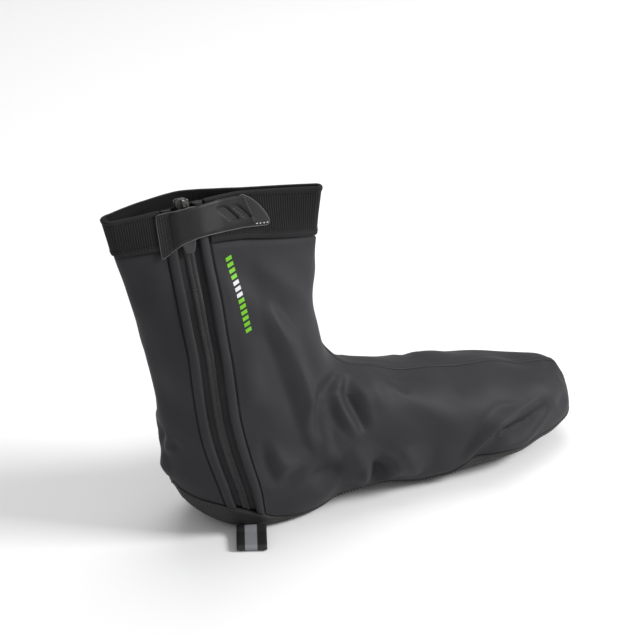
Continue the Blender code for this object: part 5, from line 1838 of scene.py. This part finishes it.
def make_loop():
    """Folded webbing loop with its stripe, lying on the floor beside the heel."""
    start = np.array([0.158 * LENGTH, -0.30 * BALL])
    way = np.array([-math.sin(LOOP_TURN), -math.cos(LOOP_TURN)])
    wide = np.array([-way[1], way[0]])

    def surface(z, side):
        near, far = 0.0, BALL
        for _ in range(30):
            middle = (near + far) / 2
            x, y = start + way * middle + wide * side
            if form(np.array(x), np.array(y), np.array(z)) < 0:
                near = middle
            else:
                far = middle
        return far

    half = LOOP_WIDTH / 2
    bottom = WEBBING / 2 + GAP
    top = 0.0062

    def seat(z):
        reach = [surface(z + d, s * half) for d in (-WEBBING, 0, WEBBING) for s in (-1, 0, 1)]
        return max(reach) + GAP

    rim = seat(0.012)
    end = rim + LOOP_LENGTH
    fold = 0.0016
    path = [(seat(bottom + WEBBING), bottom), (rim, bottom), (end - 2 * fold, bottom)]
    for step in range(1, 16):
        angle = math.pi * (step / 16 - 0.5)
        path.append((end - fold + fold * math.cos(angle), bottom + fold + fold * math.sin(angle)))
    path += [(end - 2.5 * fold, bottom + 2 * fold), (rim + 0.004, bottom + 2.2 * fold), (seat(top), top)]
    path = dense(np.array(path), 0.0008)
    tangent = np.gradient(path, axis=0)
    tangent /= np.linalg.norm(tangent, axis=1, keepdims=True)
    normal = np.column_stack([tangent[:, 1], -tangent[:, 0]])
    run = np.concatenate([[0], np.cumsum(np.linalg.norm(np.diff(path, axis=0), axis=1))])
    across = np.concatenate([[0, 0.0004], np.linspace(0.0012, LOOP_WIDTH - 0.0012, 19), [LOOP_WIDTH - 0.0004, LOOP_WIDTH]])
    edge = np.interp(across, [0, 0.0004, 0.0012, LOOP_WIDTH - 0.0012, LOOP_WIDTH - 0.0004, LOOP_WIDTH], [0.45, 0.8, 1, 1, 0.8, 0.45])
    faces_rows = []
    for side in (1, -1):
        rows = []
        for a, e in zip(across, edge):
            line = path + normal * (side * WEBBING / 2 * e)
            xy = start + way * line[:, :1] + wide * (a - half)
            rows.append(np.column_stack([xy, line[:, 1]]))
        faces_rows.append(np.stack(rows, axis=1))
    shape = faces_rows[0].shape[:2]
    faces = cells(shape, lambda j, i: True, closed=False)
    along = np.tile(run[:, None], (1, len(across))).ravel()
    wide_values = np.tile(across, (len(run), 1)).ravel()
    values = {"along": np.tile(along, 2), "across": np.tile(wide_values, 2)}
    made = thick("loop_webbing", flat_list(faces_rows[0]), flat_list(faces_rows[1]), faces, [webbing_cloth()], values)
    pieces_of(made, "shoe", "pull_loop", slot="webbing")


def outer_point(x, z):
    """Points of the form's outer side at places along and heights."""
    near = np.zeros_like(x)
    far = np.full_like(x, BALL)
    for _ in range(30):
        middle = (near + far) / 2
        inside = form(x, -middle, z) < 0
        near = np.where(inside, middle, near)
        far = np.where(inside, far, middle)
    return np.stack([x, -near, z], axis=-1)


# Plain dashes printed ahead of the zip, top to bottom: which colour each has.
DASHES = ("lime",) * 4 + ("white",) * 3 + ("lime",) * 6
DASH_TOP = (0.0448, 0.1948)
DASH_END = (0.0497, 0.1474)
DASH_WIDE = 0.0042
DASH_FILL = 0.62
DASH_SLANT = 0.0014


def make_print():
    """A row of short slanted dashes, lime and white, printed on the cloth."""
    start = np.array(DASH_TOP)
    whole = np.array(DASH_END) - start
    step = whole / len(DASHES)
    for name, finish in (("lime", lime_print()), ("white", white_print())):
        points, faces = [], []
        back = []
        for k, colour in enumerate(DASHES):
            if colour != name:
                continue
            u, v = np.meshgrid(np.linspace(-0.5, 0.5, 9), np.linspace(0, DASH_FILL, 5))
            x = start[0] + step[0] * (k + v) + u * DASH_WIDE
            z = start[1] + step[1] * (k + v) + u * DASH_SLANT
            seats = outer_point(x, z)
            normal = outward(seats)
            lift = relief(seats, size_of("crease_depth"))
            shift = len(points)
            points += list(flat_list(seats + normal * (lift + 0.00016)[..., None]))
            back += list(flat_list(seats + normal * (lift - 0.0002)[..., None]))
            faces += [tuple(shift + i for i in f) for f in cells(x.shape, lambda j, i: True, closed=False)]
        made = thick(name + "_dashes", np.array(points), np.array(back), faces, [finish])
        pieces_of(made, "shoe", slot="softshell")


# Camera as the photograph was taken: degrees, and metres in the frame
CAMERA_AZIMUTH = -29.5
CAMERA_ELEVATION = 27.0
CAMERA_DISTANCE = 1.4
CAMERA_LENS = 117.9
CAMERA_TARGET = (0.04574, 0.0, 0.100)
CAMERA_SHIFT = (-0.003, 0.056)


def make_floor():
    """Wide pale floor."""
    mesh = bpy.data.meshes.new("floor")
    half = 6.0
    corners = [(-half, -half, 0), (half, -half, 0), (half, half, 0), (-half, half, 0)]
    mesh.from_pydata(corners, [], [(0, 1, 2, 3)])
    finish = Finish("pale_floor", rough=0.9, specular=0.2)
    grain = finish.use(cloth_grain(), Fine=60.0, Broad=2.0)
    finish.tone(grain["Tone"], colour_of("floor"), 0.995, 1.0)
    mesh.materials.append(finish.material)
    made = bpy.data.objects.new("floor", mesh)
    bpy.context.scene.collection.objects.link(made)


def area_light(name, place, target, size, power):
    """Soft square light aimed at a point."""
    light = bpy.data.lights.new(name, "AREA")
    light.shape = "SQUARE"
    light.size = size
    light.energy = power
    made = bpy.data.objects.new(name, light)
    made.location = place
    made.rotation_euler = (Vector(target) - Vector(place)).to_track_quat("-Z", "Y").to_euler()
    bpy.context.scene.collection.objects.link(made)


def make_camera():
    """Camera at the photograph's angle."""
    turn, rise = math.radians(CAMERA_AZIMUTH), math.radians(CAMERA_ELEVATION)
    back = Vector((math.sin(turn) * math.cos(rise), -math.cos(turn) * math.cos(rise), math.sin(rise)))
    lens = bpy.data.cameras.new("camera")
    lens.lens = CAMERA_LENS
    lens.sensor_width = 36.0
    lens.shift_x, lens.shift_y = CAMERA_SHIFT
    lens.clip_end = 50.0
    made = bpy.data.objects.new("camera", lens)
    made.location = Vector(CAMERA_TARGET) + back * CAMERA_DISTANCE
    made.rotation_euler = back.to_track_quat("Z", "Y").to_euler()
    bpy.context.scene.collection.objects.link(made)
    bpy.context.scene.camera = made


def make_stage():
    """Floor, soft lights, pale surroundings and camera."""
    make_camera()
    make_floor()
    target = (0.05, 0.0, 0.10)
    area_light("key", (1.5, -1.1, 1.25), target, 0.7, 44.0)
    area_light("fill", (-1.2, -1.2, 1.1), target, 1.6, 3.0)
    area_light("top", (0.5, 0.7, 1.9), target, 1.4, 16.0)
    world = bpy.data.worlds.new("studio")
    world.use_nodes = True
    sky = world.node_tree.nodes["Background"]
    sky.inputs["Color"].default_value = (1.0, 1.0, 1.0, 1.0)
    sky.inputs["Strength"].default_value = 0.42
    bpy.context.scene.world = world
    bpy.context.scene.view_settings.view_transform = "Standard"


def length_setting(label, text, default):
    """A length that a user can change."""
    return FloatProperty(name=label, description=text, default=default, min=0.0, unit="LENGTH", precision=5)


def colour_setting(label, default):
    """A colour that a user can change."""
    text = "Colour of the " + label.lower()
    return FloatVectorProperty(name=label, description=text, default=default, min=0.0, max=1.0, size=3, subtype="COLOR")


class OvershoeSizes(bpy.types.PropertyGroup):
    """Sizes of the details that dress the solids."""

    crease_depth: length_setting("Crease depth", "Depth of the main creases", 0.0036)
    stitch_pitch: length_setting("Stitch pitch", "Distance from one stitch to the next", 0.0026)
    rib_pitch: length_setting("Rib pitch", "Distance between the ribs of the cuff", 0.0015)
    rib_depth: length_setting("Rib depth", "Height of the ribs of the cuff", 0.0004)
    tooth_pitch: length_setting("Tooth pitch", "Distance from one tooth of the coil to the next", 0.0013)
    welt_rise: length_setting("Welt rise", "Height of the welts beside the zip", 0.0018)


class OvershoeColours(bpy.types.PropertyGroup):
    """Colours of the materials."""

    softshell: colour_setting("Softshell", (0.0185, 0.0178, 0.0208))
    lining: colour_setting("Lining", (0.020, 0.020, 0.021))
    sole: colour_setting("Sole", (0.0165, 0.0145, 0.0145))
    elastic: colour_setting("Elastic", (0.0055, 0.0055, 0.006))
    tape: colour_setting("Zip tape", (0.010, 0.010, 0.011))
    coil: colour_setting("Coil", (0.019, 0.019, 0.021))
    metal: colour_setting("Slider metal", (0.16, 0.155, 0.15))
    rubber: colour_setting("Puller rubber", (0.024, 0.024, 0.026))
    mesh: colour_setting("Tab mesh", (0.012, 0.012, 0.013))
    overlay: colour_setting("Tab overlay", (0.009, 0.009, 0.0094))
    webbing: colour_setting("Webbing edge", (0.008, 0.008, 0.009))
    silver: colour_setting("Webbing stripe", (0.22, 0.225, 0.24))
    thread: colour_setting("Thread", (0.022, 0.022, 0.023))
    dark_thread: colour_setting("Dark thread", (0.006, 0.006, 0.007))
    piping: colour_setting("Piping", (0.085, 0.085, 0.09))
    lime: colour_setting("Lime print", (0.14, 0.47, 0.009))
    white: colour_setting("White print", (0.62, 0.63, 0.63))
    floor: colour_setting("Floor", (0.93, 0.93, 0.93))


def operator(label, key, text, work):
    """Operator class that runs one builder."""

    def execute(self, context):
        work()
        return {"FINISHED"}

    name = "OVERSHOE_OT_" + key
    fields = {"bl_idname": "overshoe." + key, "bl_label": label, "__doc__": text, "execute": execute}
    return type(name, (bpy.types.Operator,), fields)


OPERATORS = [
    operator("Stage", "stage", "Make the floor, the lights and the camera.", make_stage),
    operator("Upper", "upper", "Make the creased softshell upper.", make_upper),
    operator("Sole", "sole", "Make the sole panel.", make_sole),
    operator("Cuff", "cuff", "Make the ribbed elastic cuff.", make_cuff),
    operator("Zip", "zip", "Make the zip's tapes and coil.", make_zip),
    operator("Slider", "slider", "Make the slider and its puller.", make_slider),
    operator("Closure tab", "tab", "Make the closure tab.", make_tab),
    operator("Pull loop", "loop", "Make the webbing loop.", make_loop),
    operator("Stitches", "stitches", "Sew the seams.", make_stitches),
    operator("Print", "print", "Print the plain dashes.", make_print),
]


class OVERSHOE_PT_panel(bpy.types.Panel):
    """Settings and steps of the overshoe."""

    bl_label = "Overshoe"
    bl_idname = "OVERSHOE_PT_panel"
    bl_space_type = "VIEW_3D"
    bl_region_type = "UI"
    bl_category = "Overshoe"

    def draw(self, context):
        for settings in (context.scene.overshoe_sizes, context.scene.overshoe_colours):
            box = self.layout.box()
            for name in settings.__annotations__:
                box.prop(settings, name)
        for kind in OPERATORS:
            self.layout.operator(kind.bl_idname)


CLASSES = [OvershoeSizes, OvershoeColours, *OPERATORS, OVERSHOE_PT_panel]


def register():
    """Register the settings, the operators and the panel."""
    for kind in CLASSES:
        bpy.utils.register_class(kind)
    bpy.types.Scene.overshoe_sizes = PointerProperty(type=OvershoeSizes)
    bpy.types.Scene.overshoe_colours = PointerProperty(type=OvershoeColours)


def unregister():
    """Take everything out again."""
    del bpy.types.Scene.overshoe_colours
    del bpy.types.Scene.overshoe_sizes
    for kind in reversed(CLASSES):
        bpy.utils.unregister_class(kind)


def main():
    """Register the classes, run each step in order and note the sizes."""
    register()
    for kind in OPERATORS:
        group_name, step = kind.bl_idname.split(".")
        getattr(getattr(bpy.ops, group_name), step)()


if __name__ == "__main__":
    main()
